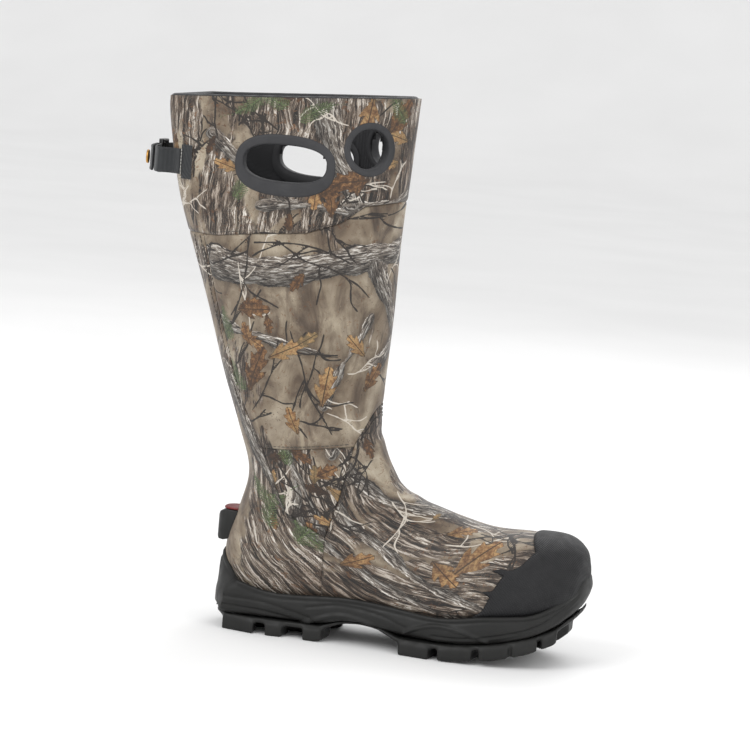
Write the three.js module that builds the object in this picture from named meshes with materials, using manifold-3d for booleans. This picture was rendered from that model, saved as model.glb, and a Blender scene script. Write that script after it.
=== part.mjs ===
// A tall insulated rubber hunting boot, right foot. Millimetres, +Z up, +X to the toe, +Y to the inner side.
// The origin is on the ground under the middle of the heel.
import * as THREE from "three";
import { mergeVertices } from "three/addons/utils/BufferGeometryUtils.js";
import Module from "manifold-3d";

const wasm = await Module();
wasm.setup();

// ---------------------------------------------------------------- driving dimensions

const footLength = 305; // back of the heel to the tip of the toe
const heelToCentre = 40; // back of the heel to the middle of the heel
const collarHeight = 438; // ground to the front of the collar
const collarDrop = 14; // how much lower the collar is at the back
const collarDepth = 193; // front to back at the collar
const collarWidth = 120; // side to side at the collar
const ankleHeight = 136; // the narrowest place, above the ground
const ankleDepth = 108; // front to back there
const ankleWidth = 84; // side to side there
const heelWidth = 76; // the upper, side to side at the heel
const waistWidth = 74; // the upper under the arch
const ballWidth = 101; // the upper at the ball of the foot
const toeHeight = 103; // ground to the top of the toe box
const lastBottom = 25; // ground to the underside of the upper
const toeSpring = 13; // how much the upper's underside rises to the toe

const fabricThick = 2.0; // rubber-coated camouflage fabric
const foamThick = 4.0; // insulating foam bootie
const liningThick = 1.2; // knitted lining
const layerGap = 0.3; // between layers and between neighbouring panels
const footbedThick = 6;
const counterThick = 1.4; // heel counter and toe puff
const rubberWall = 4.2; // wall of the rubber cup round the foot
const capThick = 1.6; // rubber overlay on the toe

const treadTop = 13; // ground to the top of the outsole plate
const outsoleThick = 4; // tread plate without its lugs
const lugHeight = 9;
const lugInset = -2.4; // the edge lugs stand a little outside the plate
const plateInset = 2.4; // the tread plate lies this far inside the wall above it
const archRise = 9; // how much the outsole rises under the arch
const archThin = 1.8; // how much thinner the outsole is there
const shankWidth = 22;
const shankThick = 1.5;
const gussetWidth = 104; // the stretch panel at the collar's back, at its top
const gussetDepth = 106; // from the collar's top to the panel's foot

const grabLength = 80; // oval hand opening's moulded ring, outside
const grabHeight = 49;
const grabBandSide = 7; // width of the ring's band at its ends
const grabBandTop = 8.4;
const grabBandFoot = 11.5;
const grabBelowTop = 54; // collar's top down to the ring's middle
const grabAhead = 0.5; // the ring's middle, ahead of the heel's middle
const eyeWidth = 43; // round opening's moulded ring, outside
const eyeBand = 5.6;
const eyeBelowTop = 42;
const eyeBehindFront = 27; // collar's front to the ring's middle
const ringProud = 1.4; // how far a ring stands out of the fabric
const ringLip = 0.6; // how far a ring stands into the boot past the lining

const webbingWidth = 20;
const webbingThick = 1.8;
const strapBelowTop = 51; // collar's back top down to the strap's middle
const cornerRoom = 1.7; // the strap stands this much further off at the collar's corner
const strapStandoff = 13; // strap's bow behind the stretch panel
const tabLength = 9; // stitched tab that holds a strap's end
const tabHeight = 27;
const tabThick = 3;
const snapRadius = 5.5;
const snapThick = 2.4;
const buckleHeight = 27;
const buckleLength = 16;
const buckleThick = 4;
const buckleBar = 2.4;
const leverLength = 14;
const leverSweep = 5.3; // the strap's tail starts clear of the turning lever
const pinRadius = 1.1;
const studBow = 0.6; // room for the tail's bend under the stud's cap

const kickHeight = 34; // moulded tab at the back of the heel
const kickWidth = 30;
const kickTop = 92; // ground to the tab's top
const accentThick = 1.6; // coloured strip on top of the tab

const aroundSteps = 16; // grid of the boot's skin
const tipMargin = 2; // smallest ring left in a skin that has been moved inwards

// ---------------------------------------------------------------- the boot's skin

// The skin is a bent tube. Each station is a flat section between a point on the front line (shin, instep,
// toe) and a point on the back line (calf, heel, sole). Between stations the values follow smooth curves.
const heelBack = -heelToCentre;
const toeTip = heelBack + footLength;
const shaftX = 91 - collarDepth / 2; // middle of the collar
const alongFoot = (share) => heelBack + share * footLength;
const upShaft = (share) => ankleHeight + share * (collarHeight - ankleHeight);
const mixed = (a, b, share) => a + (b - a) * share;
const collarFront = shaftX + collarDepth / 2;
const collarBack = shaftX - collarDepth / 2;
const ankleFront = 86;
const ankleBack = ankleFront - ankleDepth;
const over = 12; // the skin runs on above the collar, where the rim is cut

// Each row: front x and z, back x and z, half width, shape of the front half and of the back half.
// A shape of 2 is an ellipse; more is squarer, less is more pointed.
const stations = [
  [collarFront + 1, collarHeight + over, collarBack - 2, collarHeight - collarDrop + over,
    0.5 * collarWidth, 1.8, 10],
  [mixed(collarFront, ankleFront, 0.45), upShaft(0.81), mixed(collarBack, ankleBack, 0.1),
    upShaft(0.76), 0.49 * collarWidth, 1.9, 6],
  [85.5, upShaft(0.62), mixed(collarBack, ankleBack, 0.2), upShaft(0.61), 0.47 * collarWidth, 1.95, 3],
  [85, upShaft(0.42), mixed(collarBack, ankleBack, 0.43), upShaft(0.41), 0.445 * collarWidth, 2, 2],
  [82.5, upShaft(0.24), mixed(collarBack, ankleBack, 0.66), upShaft(0.23),
    mixed(ankleWidth, collarWidth, 0.3) / 2, 2, 2],
  [82.5, upShaft(0.14), mixed(collarBack, ankleBack, 0.86), upShaft(0.09),
    mixed(ankleWidth, collarWidth, 0.1) / 2, 2, 2],
  [ankleFront, upShaft(0.085), ankleBack, ankleHeight - 8, ankleWidth / 2, 2, 2],
  [92, upShaft(0.035), heelBack + 13, 98, 0.49 * ankleWidth, 2.05, 2.1],
  [100, ankleHeight - 2, heelBack + 4.5, 66, 0.53 * heelWidth, 2.1, 2.2],
  [109, ankleHeight - 11.5, heelBack + 7, lastBottom + 13, 0.51 * heelWidth, 2.1, 2.5],
  [119, ankleHeight - 15.5, heelBack + 24, lastBottom, 0.5 * heelWidth, 2.1, 3.2],
  [alongFoot(0.565), ankleHeight - 20.5, alongFoot(0.27), lastBottom, 0.5 * waistWidth, 2, 3.6],
  [alongFoot(0.64), toeHeight + 6, alongFoot(0.5), lastBottom - 1, 0.545 * waistWidth, 1.95, 3.8],
  [alongFoot(0.73), toeHeight, alongFoot(0.66), lastBottom - 1, 0.5 * ballWidth, 2, 3.8],
  [alongFoot(0.83), toeHeight - 0.5, alongFoot(0.79), lastBottom + 0.25 * toeSpring,
    0.49 * ballWidth, 2.2, 3.4],
  [alongFoot(0.92), toeHeight - 2, alongFoot(0.9), lastBottom + 0.7 * toeSpring, 0.41 * ballWidth, 2.4, 2.8],
  [alongFoot(0.965), toeHeight - 10, alongFoot(0.952), lastBottom + 1.5 * toeSpring,
    0.29 * ballWidth, 2.3, 2.4],
  [toeTip - 6, toeHeight - 20, toeTip - 8, lastBottom + 2.4 * toeSpring, 0.16 * ballWidth, 2, 2],
  [toeTip - 4, toeHeight - 30, toeTip - 4, toeHeight - 36, 3, 2, 2],
];

// The rubber cup's outer shape: the same sections, wider, with a lower and squarer sole side.
const cupBacks = new Map([
  [7, [heelBack + 9, 96, 2.1]],
  [8, [heelBack + 1, 62, 2.2]],
  [9, [heelBack, 34, 2.6]],
  [10, [heelBack + 4, treadTop, 7]],
  [11, [alongFoot(0.27), treadTop, 9]],
  [12, [alongFoot(0.5), treadTop, 9]],
  [13, [alongFoot(0.66), treadTop, 9]],
  [14, [alongFoot(0.79), treadTop + 0.3 * toeSpring, 7]],
  [15, [alongFoot(0.9), treadTop + 0.9 * toeSpring, 5]],
  [16, [alongFoot(0.955), treadTop + 1.9 * toeSpring, 3]],
  [17, [toeTip - 4, treadTop + 3 * toeSpring, 2.4]],
  [18, [toeTip + 0.5, toeHeight - 40, 2]],
]);
const cupStations = stations.map((row, i) => {
  if (!cupBacks.has(i)) return row;
  const [frontX, frontZ, , , half, frontShape] = row;
  const [backX, backZ, backShape] = cupBacks.get(i);
  const ahead = i > 16 ? rubberWall : 0;
  return [frontX + ahead, frontZ, backX, backZ, half + rubberWall, frontShape, backShape];
});
const ringsPerStation = [2, 1, 2, 2, 2, 1, 1, 1, 1, 1, 1, 2, 2, 1, 2, 1, 1, 1];

// Value of a smooth curve through a table's numbers, with t counted in stations.
function smooth(column, t, table = stations) {
  const at = (i) => table[Math.min(Math.max(i, 0), table.length - 1)][column];
  const i = Math.min(Math.floor(t), stations.length - 2);
  const f = t - i;
  const [a, b, c, d] = [at(i - 1), at(i), at(i + 1), at(i + 2)];
  return b + 0.5 * f * (c - a + f * (2 * a - 5 * b + 4 * c - d + f * (3 * (b - c) + d - a)));
}

// The toe leans to the inner side, as a foot's does.
const toeLean = 9;
function leanAt(x) {
  const share = THREE.MathUtils.clamp((x - alongFoot(0.35)) / (toeTip - alongFoot(0.35)), 0, 1);
  return toeLean * share * share;
}

function skinPoint(t, angle, table = stations) {
  const [fx, fz, bx, bz, half, frontShape, backShape] = [0, 1, 2, 3, 4, 5, 6].map((c) => smooth(c, t, table));
  const cos = Math.cos(angle);
  const sin = Math.sin(angle);
  const shape = 2 / (cos > 0 ? frontShape : backShape);
  const along = Math.sign(cos) * Math.abs(cos) ** shape;
  const across = Math.sign(sin) * Math.abs(sin) ** shape;
  const x = (fx + bx) / 2 + (along * (fx - bx)) / 2;
  const z = (fz + bz) / 2 + (along * (fz - bz)) / 2;
  return new THREE.Vector3(x, across * half + leanAt(x), z);
}

function skinNormal(t, angle, table = stations) {
  const step = 0.02;
  const t0 = Math.max(t - step, 0);
  const t1 = Math.min(t + step, stations.length - 1);
  const along = skinPoint(t1, angle, table).sub(skinPoint(t0, angle, table));
  const round = skinPoint(t, angle + step, table).sub(skinPoint(t, angle - step, table));
  return along.cross(round).normalize();
}

const ringTimes = ringsPerStation.flatMap((count, i) =>
  Array.from({ length: count }, (_, k) => i + k / count),
);
ringTimes.push(stations.length - 1);

// How far a ring can be moved inwards: half its smaller width.
const ringReach = ringTimes.map((t) => {
  const along = Math.hypot(smooth(0, t) - smooth(2, t), smooth(1, t) - smooth(3, t)) / 2;
  return Math.min(smooth(4, t), along);
});

// The skin moved inwards by a distance, as a closed solid. The small rings at the toe that can't move by
// `reachNeeded` are left out; neighbouring layers share that number, so they end at the same ring.
function skinSolid(inwards, reachNeeded = inwards, table = stations) {
  const times = ringTimes.filter((_, i) => reachNeeded <= 0 || ringReach[i] > reachNeeded + tipMargin);
  const places = [];
  for (const t of times)
    for (let k = 0; k < aroundSteps; k++) {
      const angle = (2 * Math.PI * k) / aroundSteps;
      places.push(skinPoint(t, angle, table).addScaledVector(skinNormal(t, angle, table), -inwards));
    }
  const faces = [];
  const next = (k) => (k + 1) % aroundSteps;
  for (let i = 0; i + 1 < times.length; i++)
    for (let k = 0; k < aroundSteps; k++) {
      const [a, b] = [i * aroundSteps + k, i * aroundSteps + next(k)];
      faces.push(a, a + aroundSteps, b, b, a + aroundSteps, b + aroundSteps);
    }
  const last = (times.length - 1) * aroundSteps;
  for (const [start, turned] of [[0, false], [last, true]]) {
    const middle = places.length;
    const sum = new THREE.Vector3();
    for (let k = 0; k < aroundSteps; k++) sum.add(places[start + k]);
    places.push(sum.divideScalar(aroundSteps));
    for (let k = 0; k < aroundSteps; k++) {
      const [a, b] = [start + k, start + next(k)];
      faces.push(...(turned ? [b, a, middle] : [a, b, middle]));
    }
  }
  return fromArrays(new Float32Array(places.flatMap((p) => p.toArray())), new Uint32Array(faces));
}

// ---------------------------------------------------------------- solids and outlines

function fromArrays(vertProperties, triVerts) {
  return new wasm.Manifold(new wasm.Mesh({ numProp: 3, vertProperties, triVerts }));
}

function solid(geometry) {
  const plain = geometry.index ? geometry.toNonIndexed() : geometry.clone();
  plain.deleteAttribute("normal");
  plain.deleteAttribute("uv");
  const merged = mergeVertices(plain, 1e-4);
  return fromArrays(merged.attributes.position.array, new Uint32Array(merged.index.array));
}

function outlineOf(points) {
  return new THREE.Shape(points.map(([x, y]) => new THREE.Vector2(x, y)));
}

const reach = 100; // half length of a cutter that goes right through the boot

// An outline drawn in the side view (x, z), as thick as from yLow to yHigh.
function fromSide(shape, yLow = -reach, yHigh = reach, curveSegments = 12) {
  const made = new THREE.ExtrudeGeometry(shape, { depth: yHigh - yLow, bevelEnabled: false, curveSegments });
  return solid(made.rotateX(Math.PI / 2).translate(0, yHigh, 0));
}

// An outline drawn in the back view (y, z), running from xLow to xHigh.
function fromBack(shape, xLow, xHigh) {
  const made = new THREE.ExtrudeGeometry(shape, { depth: xHigh - xLow, bevelEnabled: false });
  made.applyMatrix4(new THREE.Matrix4().set(0, 0, 1, xLow, 1, 0, 0, 0, 0, 1, 0, 0, 0, 0, 0, 1));
  return solid(made);
}

// An outline drawn in the plan (x, y), from zLow to zHigh.
function fromTop(shape, zLow, zHigh) {
  const made = new THREE.ExtrudeGeometry(shape, { depth: zHigh - zLow, bevelEnabled: false });
  return solid(made.translate(0, 0, zLow));
}

// The outline of a line of points, drawn as wide as a width.
function stroke(points, width) {
  const sides = [[], []];
  points.forEach(([x, y], i) => {
    const [ax, ay] = points[Math.max(i - 1, 0)];
    const [bx, by] = points[Math.min(i + 1, points.length - 1)];
    const size = Math.hypot(bx - ax, by - ay);
    const [nx, ny] = [(-(by - ay) / size) * (width / 2), ((bx - ax) / size) * (width / 2)];
    sides[0].push([x + nx, y + ny]);
    sides[1].unshift([x - nx, y - ny]);
  });
  return outlineOf([...sides[0], ...sides[1]]);
}

function strokeSmooth(points, width) {
  return stroke(curved(points, 4 * points.length), width);
}

const mixedPoint = ([ax, ay], [bx, by], share) => [mixed(ax, bx, share), mixed(ay, by, share)];

function curved(points, count) {
  const curve = new THREE.CatmullRomCurve3(points.map(([x, z]) => new THREE.Vector3(x, 0, z)));
  return curve.getPoints(count).map((p) => [p.x, p.z]);
}

function oval(x, z, halfLength, halfHeight, shape = 2, steps = 24) {
  return outlineOf(
    Array.from({ length: steps }, (_, k) => {
      const a = (2 * Math.PI * (k + 0.5)) / steps;
      const round = (v) => Math.sign(v) * Math.abs(v) ** (2 / shape);
      return [x + halfLength * round(Math.cos(a)), z + halfHeight * round(Math.sin(a))];
    }),
  );
}

// ---------------------------------------------------------------- seams, in the side view

const far = 80; // how far a region's outline runs past the boot
const xLow = collarBack - far;
const xHigh = toeTip + far;
const rimAt = (x) => collarHeight + (collarDrop * (x - collarFront)) / collarDepth;
const rimLine = [
  [xLow, rimAt(xLow)],
  [xHigh, rimAt(xHigh)],
];
const gussetFoot = collarHeight - collarDrop - gussetDepth;
const collarSeam = [
  [xLow, gussetFoot - 3],
  [-54, gussetFoot - 1],
  [-20, gussetFoot + 4],
  [22, gussetFoot + 8.5],
  [48, gussetFoot + 19],
  [64, gussetFoot + 33],
  [collarFront - 3, gussetFoot + 38],
  [xHigh, gussetFoot + 40],
];
const ankleSeamZ = ankleHeight + 14;
const quarterTop = [
  [-5, ankleSeamZ],
  [21, ankleSeamZ + 2],
  [70, ankleSeamZ + 9],
];
const quarterFoot = [alongFoot(0.308), lastBottom + 59];
const quarterHeel = [20, ankleHeight - 35];
const backstaySeam = [
  [-66, gussetFoot + 1.6],
  [-54, upShaft(0.425)],
  [-38, upShaft(0.27)],
  [-27, upShaft(0.165)],
  [-12, upShaft(0.083)],
  quarterTop[0],
];
const vampTop = [84, ankleHeight + 60];
const vampSeam = [vampTop, quarterTop[2], [62, ankleHeight - 22], quarterFoot];
const vampFoot = [alongFoot(0.303), -far];
const capEdge = [
  [alongFoot(0.83), toeHeight + far],
  [alongFoot(0.845), toeHeight - 4],
  [alongFoot(0.79), lastBottom + 47],
  [alongFoot(0.755), lastBottom + 42],
  [alongFoot(0.725), lastBottom + 22],
  [alongFoot(0.7), lastBottom + 2],
  [alongFoot(0.69), -far],
];
// The rubber cup's upper edge: high behind the heel and round the toe.
const cupTop = curved(
  [
    [heelBack - 12, lastBottom + 40],
    [heelBack, lastBottom + 38],
    [heelBack + 9, lastBottom + 28],
    [heelBack + 25, lastBottom + 18],
    [heelBack + 44, lastBottom + 12],
    [alongFoot(0.215), lastBottom + 10.2],
    [alongFoot(0.36), lastBottom + 13.5],
    [alongFoot(0.45), lastBottom + 13],
    [alongFoot(0.59), lastBottom + 9.5],
    [alongFoot(0.67), lastBottom + 10.5],
    [alongFoot(0.75), lastBottom + 14.5],
    [alongFoot(0.83), lastBottom + 17],
    [alongFoot(0.875), lastBottom + 19],
    [alongFoot(0.92), lastBottom + 25],
    [alongFoot(0.962), lastBottom + 34],
    [alongFoot(0.988), lastBottom + 45],
    [toeTip + 8, lastBottom + 56],
  ],
  22,
);
// The fabric's lower edge under the foot, where the insole board closes the bottom.
const featherEdge = curved(
  [
    [heelBack - far, lastBottom + 4],
    [heelBack + 8, lastBottom + 4],
    [alongFoot(0.4), lastBottom + 4],
    [alongFoot(0.68), lastBottom + 4],
    [alongFoot(0.85), lastBottom + 4 + 0.45 * toeSpring],
    [alongFoot(0.93), lastBottom + 5 + toeSpring],
    [toeTip + 2, lastBottom + 5 + 2.2 * toeSpring],
    [toeTip + far, lastBottom + 5 + 5 * toeSpring],
  ],
  12,
);

const region = (...points) => fromSide(outlineOf(points));
const seamCut = (points) => fromSide(stroke(points, layerGap));

const belowRim = region(...rimLine, [xHigh, -far], [xLow, -far]);
const aboveCollarSeam = region(...collarSeam, ...[...rimLine].reverse().map(([x, z]) => [x, z + far]));
const belowCollarSeam = region(...collarSeam, [xHigh, -far], [xLow, -far]);
const aboveFeather = region(
  ...featherEdge,
  [toeTip + far, collarHeight + far],
  [heelBack - far, collarHeight + far],
);
const behindBackstay = region(
  [-66, gussetFoot + 40],
  ...backstaySeam,
  quarterHeel,
  quarterFoot,
  vampFoot,
  [xLow, -far],
  [xLow, gussetFoot + 40],
);
const vampRegion = region(
  [84, ankleHeight + 60.5],
  ...vampSeam.slice(1),
  vampFoot,
  [toeTip + far, -far],
  [toeTip + far, ankleHeight + 60],
);
const quarterRegion = region(...quarterTop, [62, ankleHeight - 22], quarterFoot, quarterHeel);
const capRegion = region(...capEdge, [toeTip + far, -far], [toeTip + far, toeHeight + far]);
const belowCupTop = region(...cupTop, [toeTip + 8, -far], [heelBack - 12, -far]);

const gussetOutline = (spread) =>
  outlineOf([
    [-gussetWidth / 2 - spread - 6, gussetFoot + gussetDepth * 1.12],
    [-6 - spread, gussetFoot + 1 - spread],
    [6 + spread, gussetFoot + 1 - spread],
    [gussetWidth / 2 + spread + 6, gussetFoot + gussetDepth * 1.12],
  ]);
const gussetCut = fromBack(gussetOutline(layerGap / 2), collarBack - far, collarBack + 55);
const gussetRegion = fromBack(gussetOutline(-layerGap / 2), collarBack - far, collarBack + 55);

// ---------------------------------------------------------------- openings with their moulded rings

const grabX = grabAhead;
const grabZ = collarHeight - collarDrop / 2 - grabBelowTop + 1;
const grabInnerZ = (grabBandFoot - grabBandTop) / 2; // the hole sits above its ring's middle
const eyeX = collarFront - eyeBehindFront;
const eyeZ = collarHeight - eyeBelowTop;
const openings = [
  {
    name: "grab",
    x: grabX,
    z: grabZ,
    outer: (more) => oval(0, 0, grabLength / 2 + more, grabHeight / 2 + more, 2.5, 24),
    inner: oval(0, grabInnerZ, grabLength / 2 - grabBandSide,
      (grabHeight - grabBandTop - grabBandFoot) / 2, 2.6, 24),
  },
  {
    name: "eye",
    x: eyeX,
    z: eyeZ,
    outer: (more) => oval(0, 0, eyeWidth / 2 + more, eyeWidth / 2 + more, 2, 20),
    inner: oval(0, 0, eyeWidth / 2 - eyeBand, eyeWidth / 2 - eyeBand, 2, 20),
  },
];

// The place on the shaft's skin with a given x and z, on the side of a given sign, and its outward normal.
function skinAt(x, z, side) {
  let best = { miss: Infinity };
  for (let t = 0; t < 5; t += 0.02)
    for (let angle = 0.02; angle < Math.PI; angle += 0.02) {
      const p = skinPoint(t, side * angle);
      const miss = (p.x - x) ** 2 + (p.z - z) ** 2;
      if (miss < best.miss) best = { miss, t, angle: side * angle };
    }
  return { place: skinPoint(best.t, best.angle), out: skinNormal(best.t, best.angle) };
}

// An outline drawn in the skin's own tangent plane, cut inwards and outwards along its normal.
function alongNormal(shape, { place, out }, inwards, outwards) {
  const made = new THREE.ExtrudeGeometry(shape, { depth: inwards + outwards, bevelEnabled: false });
  const flat = new THREE.Vector3(out.x, out.y, 0).normalize();
  const right = new THREE.Vector3(-flat.y, flat.x, 0);
  const basis = new THREE.Matrix4().makeBasis(right, new THREE.Vector3(0, 0, 1), flat);
  return solid(made.translate(0, 0, -inwards).applyMatrix4(basis).translate(place.x, place.y, place.z));
}
const cutDepth = 22; // a ring's cutter reaches this far on each side of the skin
const sides = [
  { suffix: "outer", sign: -1 },
  { suffix: "inner", sign: 1 },
];
const openingPlaces = openings.flatMap((opening) =>
  sides.map(({ suffix, sign }) => ({
    ...opening,
    name: `${opening.name}_ring_${suffix}`,
    seat: skinAt(opening.x, opening.z, sign),
  })),
);
const openingCuts = openingPlaces.map(({ outer, seat }) =>
  alongNormal(outer(layerGap), seat, cutDepth, cutDepth),
);

// ---------------------------------------------------------------- parts

const boot = new THREE.Group();

const colours = {
  camo: { color: 0x8f8672, roughness: 0.75, metalness: 0 },
  rubber: { color: 0x1d1d1c, roughness: 0.6, metalness: 0 },
  foam: { color: 0x2b2b2b, roughness: 0.9, metalness: 0 },
  knit: { color: 0x141414, roughness: 0.95, metalness: 0 },
  webbing: { color: 0x2c2d2e, roughness: 0.85, metalness: 0 },
  plastic: { color: 0x101010, roughness: 0.35, metalness: 0 },
  brass: { color: 0xb87a2c, roughness: 0.35, metalness: 0.9 },
  steel: { color: 0xb0b2b4, roughness: 0.35, metalness: 1 },
  board: { color: 0xa08a68, roughness: 0.9, metalness: 0 },
  accent: { color: 0xa02c2c, roughness: 0.6, metalness: 0 },
};

function add(name, made, look) {
  const largest = made.decompose().sort((a, b) => b.volume() - a.volume())[0];
  const { vertProperties, triVerts } = largest.getMesh();
  const geometry = new THREE.BufferGeometry()
    .setAttribute("position", new THREE.BufferAttribute(vertProperties, 3))
    .setIndex(new THREE.BufferAttribute(triVerts, 1));
  geometry.computeVertexNormals();
  const mesh = new THREE.Mesh(geometry, new THREE.MeshStandardMaterial(colours[look]));
  mesh.name = name;
  boot.add(mesh);
}

const cut = (made, cutters) => cutters.reduce((left, cutter) => left.subtract(cutter), made);

// Depths of the layers, counted inwards from the fabric's outer face.
const foamOuter = fabricThick + layerGap;
const foamInner = foamOuter + foamThick;
const liningOuter = foamInner + layerGap;
const liningInner = liningOuter + liningThick;
const skin = skinSolid(0).intersect(belowRim);
const fabricInner = skinSolid(fabricThick);
const foamOuterSolid = skinSolid(foamOuter, fabricThick);
const foamInnerSolid = skinSolid(foamInner);
const liningOuterSolid = skinSolid(liningOuter, foamInner);
const cavity = skinSolid(liningInner);

// Fabric panels
const fabric = cut(skin.subtract(fabricInner), openingCuts);
const seams = {
  collar: seamCut(collarSeam),
  backstay: seamCut([[-66, gussetFoot + 40], ...backstaySeam, quarterHeel, quarterFoot, vampFoot]),
  quarterTop: seamCut([[-9, ankleSeamZ - 0.3], ...quarterTop, [74, ankleSeamZ + 9.6]]),
  vamp: seamCut([[104, ankleHeight + 64], ...vampSeam, vampFoot]),
  feather: seamCut(featherEdge),
};
const collarPart = fabric.intersect(aboveCollarSeam).subtract(seams.collar);
add("collar_panel", collarPart.subtract(gussetCut), "camo");
add("gusset_panel", collarPart.intersect(gussetRegion), "webbing");
const lower = cut(fabric.intersect(belowCollarSeam).intersect(aboveFeather), [seams.collar, seams.feather]);
const backstay = lower.intersect(behindBackstay).subtract(seams.backstay).subtract(seams.vamp);
add("backstay_panel", backstay, "camo");
const vampPart = lower.intersect(vampRegion).subtract(seams.vamp);
add("vamp_panel", vampPart, "camo");
const capShell = skinSolid(-capThick).subtract(skinSolid(-layerGap));
add("toe_cap", capShell.intersect(capRegion).subtract(belowCupTop).subtract(seamCut(cupTop)), "rubber");
const shaftPart = cut(lower.subtract(behindBackstay).subtract(vampRegion).subtract(quarterRegion), [
  seams.backstay,
  seams.vamp,
  seams.quarterTop,
]);
add("shaft_panel", shaftPart, "camo");
const quarters = cut(lower.intersect(quarterRegion), [seams.backstay, seams.vamp, seams.quarterTop]);
const outerSide = fromTop(outlineOf([[-200, -reach], [300, -reach], [300, 0], [-200, 0]]), -1, 500);
add("ankle_quarter_outer", quarters.intersect(outerSide), "camo");
add("ankle_quarter_inner", quarters.subtract(outerSide), "camo");

// Insole board: closes the bottom of the fabric under the foot.
const belowFeather = skin.subtract(fabricInner).subtract(aboveFeather).subtract(seams.feather);
add("insole_board", belowFeather, "board");

// Stiffeners between the fabric and the foam.
const counterInner = skinSolid(foamOuter + counterThick, fabricThick);
const counterRegion = (more) =>
  region(
    [heelBack - far, lastBottom + 10 - more],
    [heelBack + 55 + more, lastBottom + 10 - more],
    [heelBack + 42 + more, lastBottom + 40 + more],
    [heelBack - far, lastBottom + 55 + more],
  );
const puffRegion = (more) =>
  region(
    [toeTip - 52 - more, lastBottom + 0.5 * toeSpring + 12 - more],
    [toeTip - 26, lastBottom + toeSpring + 8 - more],
    [toeTip + far, lastBottom + toeSpring + 8 - more],
    [toeTip + far, toeHeight + far],
    [toeTip - 40 - more, toeHeight + far],
  );
const stiffenerShell = foamOuterSolid.subtract(counterInner);
add("heel_counter", stiffenerShell.intersect(counterRegion(0)), "plastic");
add("toe_puff", stiffenerShell.intersect(puffRegion(0)), "plastic");

// Insulating foam bootie and its knitted lining
const pocket = skinSolid(0).subtract(skinSolid(foamOuter + counterThick + layerGap, fabricThick));
const foam = cut(foamOuterSolid.intersect(belowRim).subtract(foamInnerSolid), [
  ...openingCuts,
  pocket.intersect(counterRegion(layerGap)),
  pocket.intersect(puffRegion(layerGap)),
]);
add("insulation_bootie", foam, "foam");
const lining = cut(liningOuterSolid.intersect(belowRim).subtract(cavity), openingCuts);
add("lining", lining, "knit");

// Footbed: lies loose inside the lining, its top a little above the sole line.
const bedTop = curved(
  [
    [heelBack - far, lastBottom + liningInner + footbedThick + 3],
    [heelBack + 30, lastBottom + liningInner + footbedThick],
    [alongFoot(0.35), lastBottom + liningInner + footbedThick + 3],
    [alongFoot(0.6), lastBottom + liningInner + footbedThick - 1],
    [alongFoot(0.78), lastBottom + liningInner + footbedThick + 0.25 * toeSpring],
    [alongFoot(0.9), lastBottom + liningInner + footbedThick + 0.8 * toeSpring],
    [toeTip + 4, lastBottom + liningInner + footbedThick + 1.6 * toeSpring],
  ],
  10,
);
const belowBed = region(...bedTop, [toeTip + 4, -far], [heelBack - far, -far]);
add("footbed", skinSolid(liningInner + layerGap, liningInner).intersect(belowBed), "foam");

// Moulded rings of the openings, one on each side of the boot
const ringWall = skinSolid(-ringProud).subtract(skinSolid(liningInner + ringLip, liningInner));
for (const { name, outer, inner, seat } of openingPlaces) {
  const ring = ringWall.intersect(alongNormal(outer(0), seat, cutDepth, cutDepth));
  add(name, ring.subtract(alongNormal(inner, seat, cutDepth + 5, cutDepth + 5)), "rubber");
}

// ---------------------------------------------------------------- sole unit

const treadFoot = treadTop - outsoleThick;
// The sole seen from the side: level at the heel and the ball, raised in the arch, sprung at the toe.
const soleLine = (height, arch) => [
  [heelBack - 12, height + 12],
  [heelBack, height + 6],
  [heelBack + 6, height + 2.5],
  [heelBack + 14, height],
  [alongFoot(0.31), height],
  [alongFoot(0.37), height + 0.85 * arch],
  [alongFoot(0.42), height + arch],
  [alongFoot(0.47), height + 0.85 * arch],
  [alongFoot(0.53), height],
  [alongFoot(0.64), height],
  [alongFoot(0.71), height + 2],
  [alongFoot(0.79), height + 5.5],
  [alongFoot(0.87), height + 12],
  [alongFoot(0.93), height + 20],
  [alongFoot(0.975), height + 32],
  [toeTip, height + 44],
  [toeTip + 12, height + 70],
];
const aboveSole = (height, arch) =>
  region(...soleLine(height, arch), [toeTip + 12, collarHeight], [heelBack - 12, collarHeight]);

// Rubber cup: a wall round the foot, open at the bottom, where the midsole fills it.
const cupOuter = skinSolid(0, 0, cupStations).intersect(aboveSole(treadTop + layerGap, archRise - archThin));
const cupBlock = cupOuter.intersect(belowCupTop).subtract(skinSolid(-layerGap));
const wallInside = skinSolid(rubberWall - layerGap, rubberWall, cupStations);
const belowMidsoleTop = (more) =>
  region(
    [xLow, lastBottom + more],
    [alongFoot(0.78), lastBottom + more],
    [alongFoot(0.88), lastBottom + 0.45 * toeSpring + more],
    [xHigh, lastBottom + 2 * toeSpring + more],
    [xHigh, -far],
    [xLow, -far],
  );
const cupRoom = wallInside.intersect(belowMidsoleTop(layerGap));
add("foot_cup", cupBlock.subtract(cupRoom), "rubber");

const midsoleBody = cupBlock
  .intersect(skinSolid(rubberWall, rubberWall, cupStations).intersect(belowMidsoleTop(0)));
const shankFrom = alongFoot(0.2);
const shankTo = alongFoot(0.56);
const shankPlan = (more) =>
  outlineOf([
    [shankFrom - more, -shankWidth / 2 - more],
    [shankTo + more, -shankWidth / 2 - more],
    [shankTo + more, shankWidth / 2 + more],
    [shankFrom - more, shankWidth / 2 + more],
  ]);
const shankTop = lastBottom - 1 - 2 * layerGap;
const shankFoot = shankTop - shankThick;
const shankSlot = fromTop(shankPlan(layerGap), shankFoot - layerGap, lastBottom + 8);
add("midsole", midsoleBody.subtract(shankSlot), "foam");
add("shank", fromTop(shankPlan(0), shankFoot, shankTop), "steel");

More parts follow.
